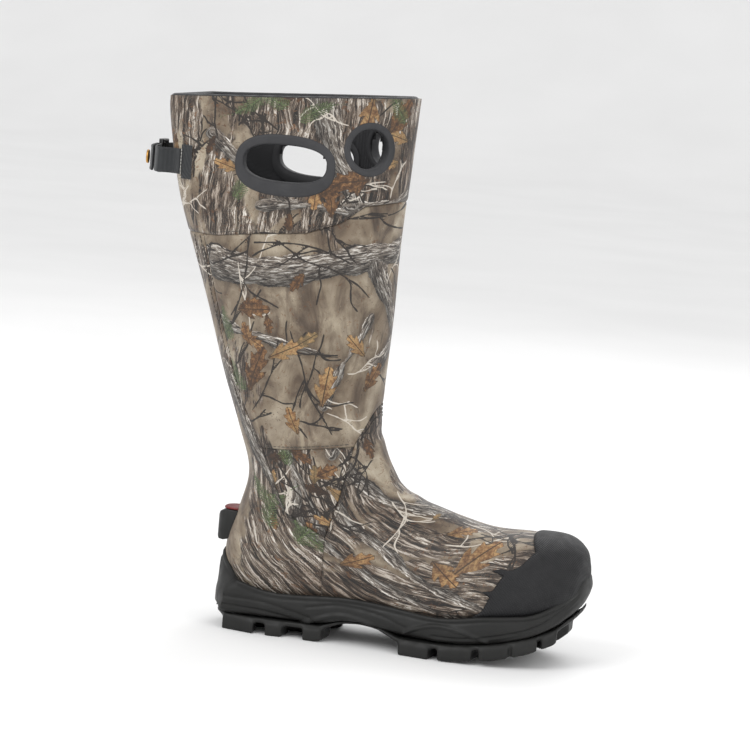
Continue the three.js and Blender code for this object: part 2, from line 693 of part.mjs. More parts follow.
// Outsole plate with its lugs
const halfPlan = [
  [heelBack + plateInset, 0],
  [heelBack + plateInset + 3, 0.32 * heelWidth],
  [heelBack + 16, 0.5 * heelWidth - 0.3],
  [heelBack + 40, 0.5 * heelWidth + rubberWall],
  [alongFoot(0.3), 0.5 * heelWidth + 0.6 * rubberWall],
  [alongFoot(0.42), 0.5 * waistWidth + 0.8 * rubberWall],
  [alongFoot(0.56), 0.46 * ballWidth + rubberWall],
  [alongFoot(0.68), 0.5 * ballWidth + 1.1 * rubberWall],
  [alongFoot(0.78), 0.5 * ballWidth + rubberWall],
  [alongFoot(0.86), 0.46 * ballWidth + 0.8 * rubberWall],
  [alongFoot(0.93), 0.36 * ballWidth + 0.5 * rubberWall],
  [alongFoot(0.97), 0.24 * ballWidth],
  [toeTip - 3, 0],
].map(([x, y], i, all) => [x, i === 0 || i === all.length - 1 ? 0 : y - plateInset]);
const otherHalf = [...halfPlan]
  .reverse()
  .slice(1, -1)
  .map(([x, y]) => [x, -y]);
const planOutline = outlineOf(
  [...halfPlan, ...otherHalf].map(([x, y]) => [x, y + leanAt(x)]),
);
// Half width of the plate's outline at a place along the foot.
function planHalf(x) {
  const i = halfPlan.findIndex(([px]) => px > x);
  const [[ax, ay], [bx, by]] = [halfPlan[i - 1], halfPlan[i]];
  return mixed(ay, by, (x - ax) / (bx - ax));
}
const plate = fromTop(planOutline, -far, collarHeight)
  .intersect(aboveSole(treadFoot, archRise))
  .subtract(aboveSole(treadTop, archRise - archThin));

// Lugs along both edges: start, end, reach inwards from the edge, slant of the inner end.
const edgeLugs = [
  [heelBack + 14, heelBack + 42, 20, -3],
  [heelBack + 51, heelBack + 65, 17, 2],
  [heelBack + 82, heelBack + 98, 19, 3],
  [alongFoot(0.532), alongFoot(0.617), 24, 4],
  [alongFoot(0.64), alongFoot(0.732), 23, 2],
  [alongFoot(0.75), alongFoot(0.825), 20, -3],
  [alongFoot(0.835), alongFoot(0.895), 18, -6],
  [alongFoot(0.905), alongFoot(0.94), 16, -8],
];
// Lugs down the middle: place along and across the foot, length, width.
const middleLugs = [
  [-14, 0, 22, 24],
  [0, 0, 20, 26],
  [28, 0, 18, 24],
  [alongFoot(0.575), 2, 20, 20],
  [alongFoot(0.665), 3, 18, 22],
  [alongFoot(0.755), 5, 18, 20],
  [alongFoot(0.84), 6, 16, 18],
  [alongFoot(0.93), 7, 15, 26],
];
const lugOutlines = [];
for (const side of [-1, 1])
  for (const [start, end, inwards, slant] of edgeLugs) {
    const edge = (x, depth) => side * (planHalf(x) - depth) + leanAt(x);
    lugOutlines.push([
      [start, edge(start, lugInset)],
      [end, edge(end, lugInset)],
      [end + slant, edge(end, inwards)],
      [start + slant + 2, edge(start, inwards - 2)],
    ]);
  }
for (const [x, y, length, width] of middleLugs)
  lugOutlines.push([
    [x - length / 2, y - width / 2],
    [x + length / 2, y - width / 2 + 3],
    [x + length / 2, y + width / 2 - 3],
    [x - length / 2, y + width / 2],
  ]);
const lugSpace = aboveSole(treadFoot - lugHeight, archRise).subtract(aboveSole(treadFoot + 1, archRise));
const lugFrom = (points) => fromTop(outlineOf(points), -far, collarHeight).intersect(lugSpace);
const outsole = lugOutlines.reduce((made, points) => made.add(lugFrom(points)), plate);
add("outsole", outsole, "rubber");

// ---------------------------------------------------------------- heel tab

const kickFoot = kickTop - kickHeight + 10;
const kickSide = outlineOf([
  [heelBack + 22, kickTop + 1],
  [heelBack + 4, kickTop + 1],
  [heelBack - 2, kickTop - 1],
  [heelBack - 4, kickTop - 6],
  [heelBack - 4, kickFoot + 3],
  [heelBack - 2, kickFoot],
  [heelBack + 3, kickFoot],
  [heelBack + 22, kickFoot + 6],
]);
const kickPlan = oval(heelBack + 16, 0, 20, kickWidth / 2, 3);
const kick = fromSide(kickSide).intersect(fromTop(kickPlan, 0, collarHeight)).subtract(skinSolid(-layerGap));
add("kick_tab", kick, "rubber");
const accentPlan = oval(heelBack + 16, 0, 16, kickWidth / 2 - 2.5, 3);
const accent = fromTop(accentPlan, kickTop + 1 + layerGap, kickTop + 1 + layerGap + accentThick);
const behindHeel = outlineOf([
  [xLow, -reach],
  [heelBack + 14, -reach],
  [heelBack + 14, reach],
  [xLow, reach],
]);
const accentRoom = fromTop(behindHeel, 0, collarHeight).subtract(skinSolid(-layerGap));
add("kick_accent", accent.intersect(accentRoom), "accent");

// ---------------------------------------------------------------- adjuster strap behind the collar

const strapZ = collarHeight - collarDrop - strapBelowTop;
const strapLow = strapZ - webbingWidth / 2;
const strapHigh = strapZ + webbingWidth / 2;
// Back corner of the collar at the strap's upper edge, where the skin stands out furthest.
const cornerX = mixed(collarBack, ankleBack, 0.07);
const cornerY = collarWidth / 2;
const tabFrom = cornerX + 12; // the tabs are stitched to the fabric ahead of the corner
const tabSkin = skinSolid(-layerGap - tabThick).subtract(skinSolid(-layerGap));
const tabBlock = fromSide(
  outlineOf([
    [tabFrom, strapZ - tabHeight / 2],
    [tabFrom + tabLength, strapZ - tabHeight / 2],
    [tabFrom + tabLength, strapZ + tabHeight / 2],
    [tabFrom, strapZ + tabHeight / 2],
  ]),
);
for (const { suffix, sign } of sides) {
  const half = outlineOf([
    [xLow, 0],
    [xHigh, 0],
    [xHigh, sign * reach],
    [xLow, sign * reach],
  ]);
  const halfSkin = tabSkin.intersect(fromTop(half, 0, collarHeight));
  add(`strap_tab_${suffix}`, tabBlock.intersect(halfSkin), "webbing");
}

const strapBackX = collarBack - strapStandoff - 2;
// The strap's end meets the tab edge to edge, then runs along the fabric and bows behind the collar.
function besideSkin(x, standing) {
  const { place, out } = skinAt(x, strapHigh, 1);
  return [place.x, place.y + standing / Math.hypot(out.x, out.y)];
}
const strapRoute = [
  besideSkin(tabFrom - 3 * layerGap, layerGap + tabThick / 2),
  besideSkin(cornerX + 4, layerGap + tabThick / 2 + cornerRoom),
  [cornerX - 6 - cornerRoom, cornerY - 6],
  [cornerX - 15, cornerY - 22],
  [strapBackX + 3, cornerY - 40],
  [strapBackX, buckleLength / 2 + layerGap],
];
const ribbon = (points) => fromTop(strokeSmooth(points, webbingThick), strapLow, strapHigh);
const outerRoute = strapRoute.map(([x, y]) => [x, -y]);
add("adjuster_strap", ribbon(outerRoute), "webbing");
add("buckle_strap", ribbon(strapRoute), "webbing");

// Buckle: a frame with a window, a pin across it and a lever that turns on the pin.
const frameX = strapBackX;
const frameOutline = outlineOf([
  [-buckleLength / 2, strapZ - buckleHeight / 2],
  [buckleLength / 2, strapZ - buckleHeight / 2],
  [buckleLength / 2, strapZ + buckleHeight / 2],
  [-buckleLength / 2, strapZ + buckleHeight / 2],
]);
const windowX = buckleLength / 2 - buckleBar;
const windowZ = buckleHeight / 2 - buckleBar;
frameOutline.holes.push(
  outlineOf([
    [-windowX, strapZ - windowZ],
    [windowX, strapZ - windowZ],
    [windowX, strapZ + windowZ],
    [-windowX, strapZ + windowZ],
  ]),
);
add("buckle_frame", fromBack(frameOutline, frameX - buckleThick / 2, frameX + buckleThick / 2), "plastic");
const pinPlan = oval(frameX, 0, pinRadius, pinRadius, 2, 12);
add("buckle_pin", fromTop(pinPlan, strapZ - windowZ + layerGap, strapZ + windowZ - layerGap), "steel");
const barrel = oval(frameX, 0, pinRadius + 1.4, pinRadius + 1.4, 2, 16);
barrel.holes.push(oval(frameX, 0, pinRadius + 0.1, pinRadius + 0.1, 2, 12));
const leverLow = strapZ - windowZ + 1;
const leverHigh = strapZ + windowZ - 1;
const leverX = frameX - buckleThick / 2 - layerGap;
const arm = outlineOf([
  [frameX - 1.6, 0.6],
  [frameX - 1.6, 2.4],
  [leverX, 3.4],
  [leverX, leverLength],
  [leverX - 2.2, leverLength],
  [leverX - 2.2, 1.2],
  [frameX - 2.2, 0.2],
]);
const lever = fromTop(barrel, leverLow, leverHigh).add(fromTop(arm, leverLow, leverHigh));
add("buckle_lever", lever, "plastic");

// Free tail of the strap: comes back over the strap from the buckle and is held by a press stud.
const tailX = frameX - buckleThick / 2 - layerGap - webbingThick / 2;
const tailRoute = [
  [tailX, -leverSweep],
  [tailX, -buckleLength / 2 - 1],
  [tailX + 1.5, -cornerY + 40],
  [cornerX - 19.5, -cornerY + 25],
  [cornerX - 15, -cornerY + 15],
];
add("strap_tail", ribbon(tailRoute), "webbing");
const studPoint = new THREE.Vector2(...mixedPoint(tailRoute[2], tailRoute[3], 0.85));
const [tailNear, tailFar] = [tailRoute[2], tailRoute[3]];
const studAway = new THREE.Vector2(tailFar[1] - tailNear[1], tailNear[0] - tailFar[0]).normalize();
function disc(radius, from, to) {
  const made = new THREE.CylinderGeometry(radius, radius, to - from, 14).translate(0, (from + to) / 2, 0);
  const out = new THREE.Vector3(studAway.x, studAway.y, 0);
  const across = new THREE.Vector3(0, 0, 1).cross(out);
  made.applyMatrix4(new THREE.Matrix4().makeBasis(across.negate(), out, new THREE.Vector3(0, 0, 1)));
  return solid(made.translate(studPoint.x, studPoint.y, strapZ));
}
const tailFace = webbingThick / 2 + layerGap + studBow;
add("snap_cap", disc(snapRadius, tailFace, tailFace + snapThick), "brass");

export default boot;
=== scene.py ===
"""The looks of an insulated hunting boot: a printed fabric upper on a smooth loft, moulded rubber, straps."""

import math

import bmesh
import bpy
import numpy as np
from mathutils import Matrix, Vector
from mathutils.bvhtree import BVHTree


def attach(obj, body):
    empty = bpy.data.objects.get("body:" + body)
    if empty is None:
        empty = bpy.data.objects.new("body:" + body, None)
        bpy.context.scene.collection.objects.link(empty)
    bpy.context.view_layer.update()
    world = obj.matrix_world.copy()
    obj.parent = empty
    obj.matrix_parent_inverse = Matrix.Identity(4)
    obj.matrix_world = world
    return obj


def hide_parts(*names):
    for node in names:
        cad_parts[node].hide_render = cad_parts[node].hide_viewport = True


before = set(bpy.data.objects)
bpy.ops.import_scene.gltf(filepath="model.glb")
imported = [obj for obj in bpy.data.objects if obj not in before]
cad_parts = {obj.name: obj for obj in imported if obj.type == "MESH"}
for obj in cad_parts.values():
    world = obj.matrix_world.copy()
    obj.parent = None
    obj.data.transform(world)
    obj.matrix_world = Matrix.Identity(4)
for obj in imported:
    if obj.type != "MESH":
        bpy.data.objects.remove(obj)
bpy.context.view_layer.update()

# ---------------------------------------------------------------- sizes in millimetres, as in the CAD model

MM = 0.001
foot_length = 305
heel_back = -40
toe_tip = heel_back + foot_length
collar_height = 438
collar_drop = 14
collar_depth = 193
collar_width = 120
ankle_height = 136
ankle_width = 84
heel_width = 76
waist_width = 74
ball_width = 101
toe_height = 103
last_bottom = 25
toe_spring = 13
rubber_wall = 4.2
tread_top = 13
arch_rise = 9
arch_thin = 1.8
lining_depth = 8.6
gusset_width = 104
gusset_depth = 106
strap_middle = collar_height - collar_drop - 51
webbing_width = 20
webbing_thick = 1.8
collar_front = 91
collar_back = collar_front - collar_depth
ankle_front = 86
ankle_back = ankle_front - 108
far = 80  # how far the flat outlines reach past the boot

# How fine the upper is made: columns round the boot and the step between rows
AROUND = 400
ROW_STEP = 1.35


def along_foot(share):
    return heel_back + share * foot_length


def up_shaft(share):
    return ankle_height + share * (collar_height - ankle_height)


def mixed(a, b, share):
    return a + (b - a) * share


# ---------------------------------------------------------------- the boot's skin

# Each row: front x and z, back x and z, half width, shape of the front half and of the back half.
STATIONS = np.array(
    [
        [collar_front + 1, collar_height + 12, collar_back - 2, collar_height - collar_drop + 12,
         0.5 * collar_width, 1.8, 10],
        [mixed(collar_front, ankle_front, 0.45), up_shaft(0.81), mixed(collar_back, ankle_back, 0.1),
         up_shaft(0.76), 0.49 * collar_width, 1.9, 6],
        [85.5, up_shaft(0.62), mixed(collar_back, ankle_back, 0.2), up_shaft(0.61),
         0.47 * collar_width, 1.95, 3],
        [85, up_shaft(0.42), mixed(collar_back, ankle_back, 0.43), up_shaft(0.41),
         0.445 * collar_width, 2, 2],
        [82.5, up_shaft(0.24), mixed(collar_back, ankle_back, 0.66), up_shaft(0.23),
         mixed(ankle_width, collar_width, 0.3) / 2, 2, 2],
        [82.5, up_shaft(0.14), mixed(collar_back, ankle_back, 0.86), up_shaft(0.09),
         mixed(ankle_width, collar_width, 0.1) / 2, 2, 2],
        [ankle_front, up_shaft(0.085), ankle_back, ankle_height - 8, ankle_width / 2, 2, 2],
        [92, up_shaft(0.035), heel_back + 13, 98, 0.49 * ankle_width, 2.05, 2.1],
        [100, ankle_height - 2, heel_back + 4.5, 66, 0.53 * heel_width, 2.1, 2.2],
        [109, ankle_height - 11.5, heel_back + 7, last_bottom + 13, 0.51 * heel_width, 2.1, 2.5],
        [119, ankle_height - 15.5, heel_back + 24, last_bottom, 0.5 * heel_width, 2.1, 3.2],
        [along_foot(0.565), ankle_height - 20.5, along_foot(0.27), last_bottom, 0.5 * waist_width, 2, 3.6],
        [along_foot(0.64), toe_height + 6, along_foot(0.5), last_bottom - 1, 0.545 * waist_width, 1.95, 3.8],
        [along_foot(0.73), toe_height, along_foot(0.66), last_bottom - 1, 0.5 * ball_width, 2, 3.8],
        [along_foot(0.83), toe_height - 0.5, along_foot(0.79), last_bottom + 0.25 * toe_spring,
         0.49 * ball_width, 2.2, 3.4],
        [along_foot(0.92), toe_height - 2, along_foot(0.9), last_bottom + 0.7 * toe_spring,
         0.41 * ball_width, 2.4, 2.8],
        [along_foot(0.965), toe_height - 10, along_foot(0.952), last_bottom + 1.5 * toe_spring,
         0.29 * ball_width, 2.3, 2.4],
        [toe_tip - 6, toe_height - 20, toe_tip - 8, last_bottom + 2.4 * toe_spring, 0.16 * ball_width, 2, 2],
        [toe_tip - 4, toe_height - 30, toe_tip - 4, toe_height - 36, 3, 2, 2],
    ],
    dtype=float,
)
# Back x and z and shape of the rubber cup's sections, from the eighth station on
CUP_BACKS = [
    [heel_back + 9, 96, 2.1],
    [heel_back + 1, 62, 2.2],
    [heel_back, 34, 2.6],
    [heel_back + 4, tread_top, 7],
    [along_foot(0.27), tread_top, 9],
    [along_foot(0.5), tread_top, 9],
    [along_foot(0.66), tread_top, 9],
    [along_foot(0.79), tread_top + 0.3 * toe_spring, 7],
    [along_foot(0.9), tread_top + 0.9 * toe_spring, 5],
    [along_foot(0.955), tread_top + 1.9 * toe_spring, 3],
    [toe_tip - 4, tread_top + 3 * toe_spring, 2.4],
    [toe_tip + 0.5, toe_height - 40, 2],
]
CUP = STATIONS.copy()
CUP[7:, 2:4] = [row[:2] for row in CUP_BACKS]
CUP[7:, 6] = [row[2] for row in CUP_BACKS]
CUP[7:, 4] += rubber_wall
CUP[17:, 0] += rubber_wall
LAST = len(STATIONS) - 1


def lean_at(x):
    share = np.clip((x - along_foot(0.35)) / (toe_tip - along_foot(0.35)), 0, 1)
    return 9 * share * share


def section(t, table):
    """The values of the table at t, on smooth curves through its rows."""
    i = np.clip(np.floor(t).astype(int), 0, LAST - 1)
    f = (t - i)[..., None]
    a, b, c, d = (table[np.clip(i + k, 0, LAST)] for k in (-1, 0, 1, 2))
    return b + 0.5 * f * (c - a + f * (2 * a - 5 * b + 4 * c - d + f * (3 * (b - c) + d - a)))


def skin(t, phi, table=STATIONS):
    """Points of the skin. phi is 0 on the front line, pi on the back line, and negative on the outer side."""
    fx, fz, bx, bz, half, front, back = np.moveaxis(section(t, table), -1, 0)
    cos, sin = np.cos(phi), np.sin(phi)
    shape = np.where(cos > 0, front, back)
    size = (np.abs(cos) ** shape + np.abs(sin) ** shape) ** (-1 / shape)
    along = cos * size
    x = (fx + bx) / 2 + along * (fx - bx) / 2
    z = (fz + bz) / 2 + along * (fz - bz) / 2
    return np.stack([x, sin * size * half + lean_at(x), z], axis=-1)


def skin_normal(t, phi, table=STATIONS):
    step = 0.03
    along = skin(np.minimum(t + step, LAST), phi, table) - skin(np.maximum(t - step, 0), phi, table)
    around = skin(t, phi + step, table) - skin(t, phi - step, table)
    out = np.cross(along, around)
    return out / np.maximum(np.linalg.norm(out, axis=-1, keepdims=True), 1e-9)


def rim_at(x):
    return collar_height + collar_drop * (x - collar_front) / collar_depth


def rim_times(phi):
    """Where each column of the skin meets the collar's rim."""
    low, high = np.zeros_like(phi), np.full_like(phi, 1.5)
    for _ in range(24):
        middle = (low + high) / 2
        p = skin(middle, phi)
        above = p[..., 2] > rim_at(p[..., 0])
        low, high = np.where(above, middle, low), np.where(above, high, middle)
    return (low + high) / 2


def locate(x, z):
    """The section and angle, on the inner side, of the skin's point that has this x and z."""
    x, z = np.asarray(x, float), np.asarray(z, float)
    low, high = np.zeros_like(x), np.full_like(x, LAST)
    for _ in range(36):
        middle = (low + high) / 2
        fx, fz, bx, bz = np.moveaxis(section(middle, STATIONS), -1, 0)[:4]
        before = (fx - bx) * (z - bz) - (fz - bz) * (x - bx) > 0
        low, high = np.where(before, low, middle), np.where(before, middle, high)
    t = (low + high) / 2
    fx, fz, bx, bz, _, front, back = np.moveaxis(section(t, STATIONS), -1, 0)
    share = ((x - bx) * (fx - bx) + (z - bz) * (fz - bz)) / ((fx - bx) ** 2 + (fz - bz) ** 2)
    along = np.clip(2 * share - 1, -0.999, 0.999)
    shape = np.where(along > 0, front, back)
    across = (1 - np.abs(along) ** shape) ** (1 / shape)
    return t, np.arctan2(across, along)


# ---------------------------------------------------------------- seams, in the side view

gusset_foot = collar_height - collar_drop - gusset_depth
ankle_seam = ankle_height + 14
quarter_heel = (20, ankle_height - 35)
quarter_foot = (along_foot(0.308), last_bottom + 59)
x_low = collar_back - far
x_high = toe_tip + far
COLLAR_SEAM = [
    (x_low, gusset_foot - 3),
    (-54, gusset_foot - 1),
    (-20, gusset_foot + 4),
    (22, gusset_foot + 8.5),
    (48, gusset_foot + 19),
    (64, gusset_foot + 33),
    (collar_front - 3, gusset_foot + 38),
    (x_high, gusset_foot + 40),
]
QUARTER_TOP = [(-5, ankle_seam), (21, ankle_seam + 2), (70, ankle_seam + 9)]
BACKSTAY = [
    (-66, gusset_foot + 1.6),
    (-54, up_shaft(0.425)),
    (-38, up_shaft(0.27)),
    (-27, up_shaft(0.165)),
    (-12, up_shaft(0.083)),
    (-5, ankle_seam),
]
VAMP = [(84, ankle_height + 60), (70, ankle_seam + 9), (62, ankle_height - 22), quarter_foot]
VAMP_FOOT = (along_foot(0.303), -far)
CAP_EDGE = [
    (along_foot(share), z)
    for share, z in (
        (0.83, toe_height + far),
        (0.836, toe_height + 2),
        (0.863, toe_height - 10.5),
        (0.835, toe_height - 20.5),
        (0.812, toe_height - 25),
        (0.787, toe_height - 24.5),
        (0.76, toe_height - 26.5),
        (0.793, toe_height - 29.5),
        (0.77, toe_height - 42),
        (0.743, toe_height - 43.6),
        (0.764, toe_height - 47.5),
        (0.747, toe_height - 59),
        (0.722, last_bottom + 13),
        (0.7, last_bottom - 6),
        (0.69, -far),
    )
]


def curve(points, count):
    """Points on a smooth curve through the given ones."""
    p = np.array(points, float)
    p = np.vstack([2 * p[0] - p[1], p, 2 * p[-1] - p[-2]])
    s = np.linspace(0, len(points) - 1, count)
    i = np.minimum(s.astype(int), len(points) - 2)
    f = (s - i)[:, None]
    a, b, c, d = p[i], p[i + 1], p[i + 2], p[i + 3]
    return b + 0.5 * f * (c - a + f * (2 * a - 5 * b + 4 * c - d + f * (3 * (b - c) + d - a)))


def foot_line(height, heel, foot, toe):
    """A line along the foot. Its points are given from the heel's back, by share, then from the toe's tip."""
    return [
        *((heel_back + x, height + z) for x, z in heel),
        *((along_foot(share), height + z) for share, z in foot),
        *((toe_tip + x, height + z) for x, z in toe),
    ]


CUP_TOP = curve(
    foot_line(
        last_bottom,
        [(-12, 40), (0, 38), (9, 28), (25, 18), (44, 12)],
        [(0.215, 10.2), (0.36, 13.5), (0.45, 13), (0.59, 9.5), (0.67, 10.5), (0.75, 14.5), (0.83, 17),
         (0.875, 19), (0.92, 25), (0.962, 34), (0.988, 45)],
        [(8, 56)],
    ),
    60,
)


def sole_line(height, arch):
    return foot_line(
        height,
        [(-12, 12), (0, 6), (6, 2.5), (14, 0)],
        [(0.31, 0), (0.37, 0.85 * arch), (0.42, arch), (0.47, 0.85 * arch), (0.53, 0), (0.64, 0), (0.71, 2),
         (0.79, 5.5), (0.87, 12), (0.93, 20), (0.975, 32)],
        [(0, 44), (12, 70)],
    )


def line_distance(x, z, points, closed=False):
    """Distance to a line, its sign by the side (positive to the left), and the way along it."""
    p = np.array(points, float)
    if closed:
        p = np.vstack([p, p[:1]])
    best = np.full(x.shape, 1e9)
    side = np.ones(x.shape)
    way = np.zeros(x.shape)
    run = 0.0
    for (ax, az), (bx, bz) in zip(p[:-1], p[1:]):
        dx, dz = bx - ax, bz - az
        length = math.hypot(dx, dz)
        f = np.clip(((x - ax) * dx + (z - az) * dz) / length**2, 0, 1)
        gap = np.hypot(x - ax - f * dx, z - az - f * dz)
        nearer = gap < best
        best = np.where(nearer, gap, best)
        side = np.where(nearer, np.sign(dx * (z - az) - dz * (x - ax)), side)
        way = np.where(nearer, run + f * length, way)
        run += length
    return best, side, way


def inside(x, z, points):
    """Distance to a closed outline, positive inside it."""
    best, _, _ = line_distance(x, z, points, closed=True)
    within = np.zeros(x.shape, bool)
    p = list(points)
    for (ax, az), (bx, bz) in zip(p, p[1:] + p[:1]):
        if az == bz:
            continue
        crosses = (az > z) != (bz > z)
        within ^= crosses & (x < ax + (z - az) * (bx - ax) / (bz - az))
    return np.where(within, best, -best)


def above(x, z, points):
    """Height over an open line that runs from the back to the front."""
    p = np.array(points, float)
    best, _, _ = line_distance(x, z, points)
    return np.where(z > np.interp(x, p[:, 0], p[:, 1]), best, -best)


# The distance given to points on a side of the boot that a piece doesn't reach
ELSEWHERE = -20.0


def gusset_outline(x, y, z):
    half = gusset_width / 2
    outline = [
        (-half - 6, gusset_foot + gusset_depth * 1.12),
        (-6, gusset_foot + 1),
        (6, gusset_foot + 1),
        (half + 6, gusset_foot + gusset_depth * 1.12),
    ]
    return np.where(x < collar_back + 55, inside(y, z, outline), ELSEWHERE)


def gusset_distance(x, y, z):
    return np.minimum(gusset_outline(x, y, z), above(x, z, COLLAR_SEAM))


def collar_distance(x, y, z):
    return np.minimum(above(x, z, COLLAR_SEAM), -gusset_outline(x, y, z))


BEHIND = [(-66, gusset_foot + 40), *BACKSTAY, quarter_heel, quarter_foot, VAMP_FOOT, (x_low, -far),
          (x_low, gusset_foot + 40)]
VAMP_REGION = [*VAMP, VAMP_FOOT, (x_high, -far), (x_high, ankle_height + 60)]
QUARTER = [*QUARTER_TOP, (62, ankle_height - 22), quarter_foot, quarter_heel]
CAP_REGION = [*CAP_EDGE, (x_high, -far), (x_high, toe_height + far)]


def lower_distance(x, z):
    """How far a point of the fabric is below the collar and above the rubber cup's hidden foot."""
    return np.minimum(-above(x, z, COLLAR_SEAM), above(x, z, CUP_TOP) + 5)


def backstay_distance(x, y, z):
    return np.minimum(lower_distance(x, z), inside(x, z, BEHIND))


def vamp_distance(x, y, z):
    covered = inside(x, z, CAP_REGION) - 4
    return np.minimum(np.minimum(lower_distance(x, z), inside(x, z, VAMP_REGION)), -covered)


def quarter_on(side):
    """The distance function of the ankle panel on one side: -1 is the outer side, 1 the inner."""

    def distance(x, y, z):
        return np.where(y * side > 0, np.minimum(lower_distance(x, z), inside(x, z, QUARTER)), ELSEWHERE)

    return distance


def shaft_distance(x, y, z):
    others = np.maximum(inside(x, z, BEHIND), inside(x, z, VAMP_REGION))
    return np.minimum(lower_distance(x, z), -np.maximum(others, inside(x, z, QUARTER)))


def cap_distance(x, y, z):
    return np.minimum(inside(x, z, CAP_REGION), above(x, z, CUP_TOP) + 2)


# ---------------------------------------------------------------- meshes

def mesh_object(name, points, faces, fields=None):
    """A new object from points in millimetres."""
    mesh = bpy.data.meshes.new(name)
    mesh.from_pydata((np.asarray(points) * MM).tolist(), [], faces)
    mesh.update()
    mesh.polygons.foreach_set("use_smooth", [True] * len(mesh.polygons))
    for field, values in (fields or {}).items():
        attribute = mesh.attributes.new(field, "FLOAT_VECTOR", "POINT")
        attribute.data.foreach_set("vector", np.asarray(values, np.float32).ravel())
    made = bpy.data.objects.new(name, mesh)
    bpy.context.scene.collection.objects.link(made)
    return made


def put(made, body, slot, look, *nodes):
    """Give a piece its material, its body and the CAD nodes that it stands for."""
    made.data.materials.clear()
    made.data.materials.append(look)
    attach(made, body)
    if nodes:
        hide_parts(*nodes)
    return made


def base_grid(first, last, step, around):
    """Rows of sections from `first` to `last`, about `step` apart, each with points all round the boot."""
    fine = np.linspace(first, last, 2000)
    front = skin(fine, np.zeros_like(fine))
    side = skin(fine, np.full_like(fine, math.pi / 2))
    back = skin(fine, np.full_like(fine, math.pi * 0.999))
    gaps = sum(np.linalg.norm(np.diff(line, axis=0), axis=1) for line in (front, side, back)) / 3
    way = np.concatenate([[0], np.cumsum(gaps)])
    rows = np.interp(np.linspace(0, way[-1], int(way[-1] / step)), way, fine)
    phi = (np.arange(around) + 0.5) / around * 2 * math.pi - math.pi
    return np.meshgrid(rows, phi, indexing="ij")


def neighbours(values):
    """The values of the next point in each of the four directions: rows end, columns close on themselves."""
    down = np.vstack([values[1:], values[-1:]])
    up = np.vstack([values[:1], values[:-1]])
    return [down, up, np.roll(values, -1, axis=1), np.roll(values, 1, axis=1)]


def grid_faces(rows, columns, turned=False):
    """The faces of a grid of points whose columns close on themselves, or the same faces turned over."""
    index = np.arange(rows * columns).reshape(rows, columns)
    right = np.roll(index, -1, axis=1)
    faces = np.stack([index[:-1], index[1:], right[1:], right[:-1]], axis=-1).reshape(-1, 4)
    return faces[:, [0, 3, 2, 1]] if turned else faces


def trimmed(t, phi, distance, table=STATIONS):
    """Moves the points beside an edge onto it. Returns them and the faces inside it, closed at the tip."""
    p = skin(t, phi, table)
    d = distance(p[..., 0], p[..., 1], p[..., 2])
    share = np.full(t.shape, 0.51)
    new_t, new_phi = t.copy(), phi.copy()
    for dn, tn, pn in zip(neighbours(d), neighbours(t), neighbours(phi)):
        crossing = (d * dn < 0) & (np.abs(d) <= np.abs(dn))
        f = np.where(crossing, d / np.where(crossing, d - dn, 1), 1)
        nearer = crossing & (f < share)
        share = np.where(nearer, f, share)
        turn = (pn - phi + math.pi) % (2 * math.pi) - math.pi
        new_t = np.where(nearer, t + f * (tn - t), new_t)
        new_phi = np.where(nearer, phi + f * turn, new_phi)
    d = np.where(share < 0.505, 0, d)
    quads = grid_faces(*t.shape)
    at = d.ravel()[quads]
    whole = (at >= 0).all(axis=1) & (at > 0).any(axis=1)
    faces = quads[whole].tolist()
    split = (at > 0).any(axis=1) & (at < 0).any(axis=1)
    for quad, values in zip(quads[split], at[split]):
        for k in range(4):
            three = [k, (k + 1) % 4, (k + 2) % 4]
            if values[three[1]] > 0 and values[three[0]] == 0 and values[three[2]] == 0:
                faces.append(quad[three].tolist())
    tip = t.size - t.shape[1] + np.flatnonzero(d[-1] >= 0)
    if len(tip) > 2:
        faces.append(tip[::-1].tolist())
    return new_t, new_phi, d, faces


def used_only(faces, *arrays):
    """Drops the points that no face uses."""
    keep = np.unique([v for face in faces for v in face])
    renumber = np.zeros(math.prod(arrays[0].shape[:2]), int)
    renumber[keep] = np.arange(len(keep))
    faces = [[int(renumber[v]) for v in face] for face in faces]
    return faces, [a.reshape(-1, *a.shape[2:])[keep] for a in arrays]


def facing_out(made, merge=None):
    """Turns every face outwards, once the points closer than `merge` are joined."""
    shape = bmesh.new()
    shape.from_mesh(made.data)
    if merge:
        bmesh.ops.remove_doubles(shape, verts=shape.verts, dist=merge)
    bmesh.ops.recalc_face_normals(shape, faces=shape.faces)
    shape.to_mesh(made.data)
    shape.free()


def give_rim(made, thick):
    """Turns a sheet's open edges inwards, so that it reads as a layer with a thickness."""
    rim = made.modifiers.new("rim", "SOLIDIFY")
    rim.thickness = thick * MM
    rim.offset = -1
    rim.use_rim = True
    rim.use_rim_only = True


# ---------------------------------------------------------------- a woodland print of its own

def rambling(rng, start, heading, length, steps, wander):
    """A line that wanders, as a branch does."""
    points = [start]
    for _ in range(steps):
        heading += rng.normal(0, wander)
        x, y = points[-1]
        points.append((x + math.cos(heading) * length / steps, y + math.sin(heading) * length / steps))
    return curve(points, steps * 3)


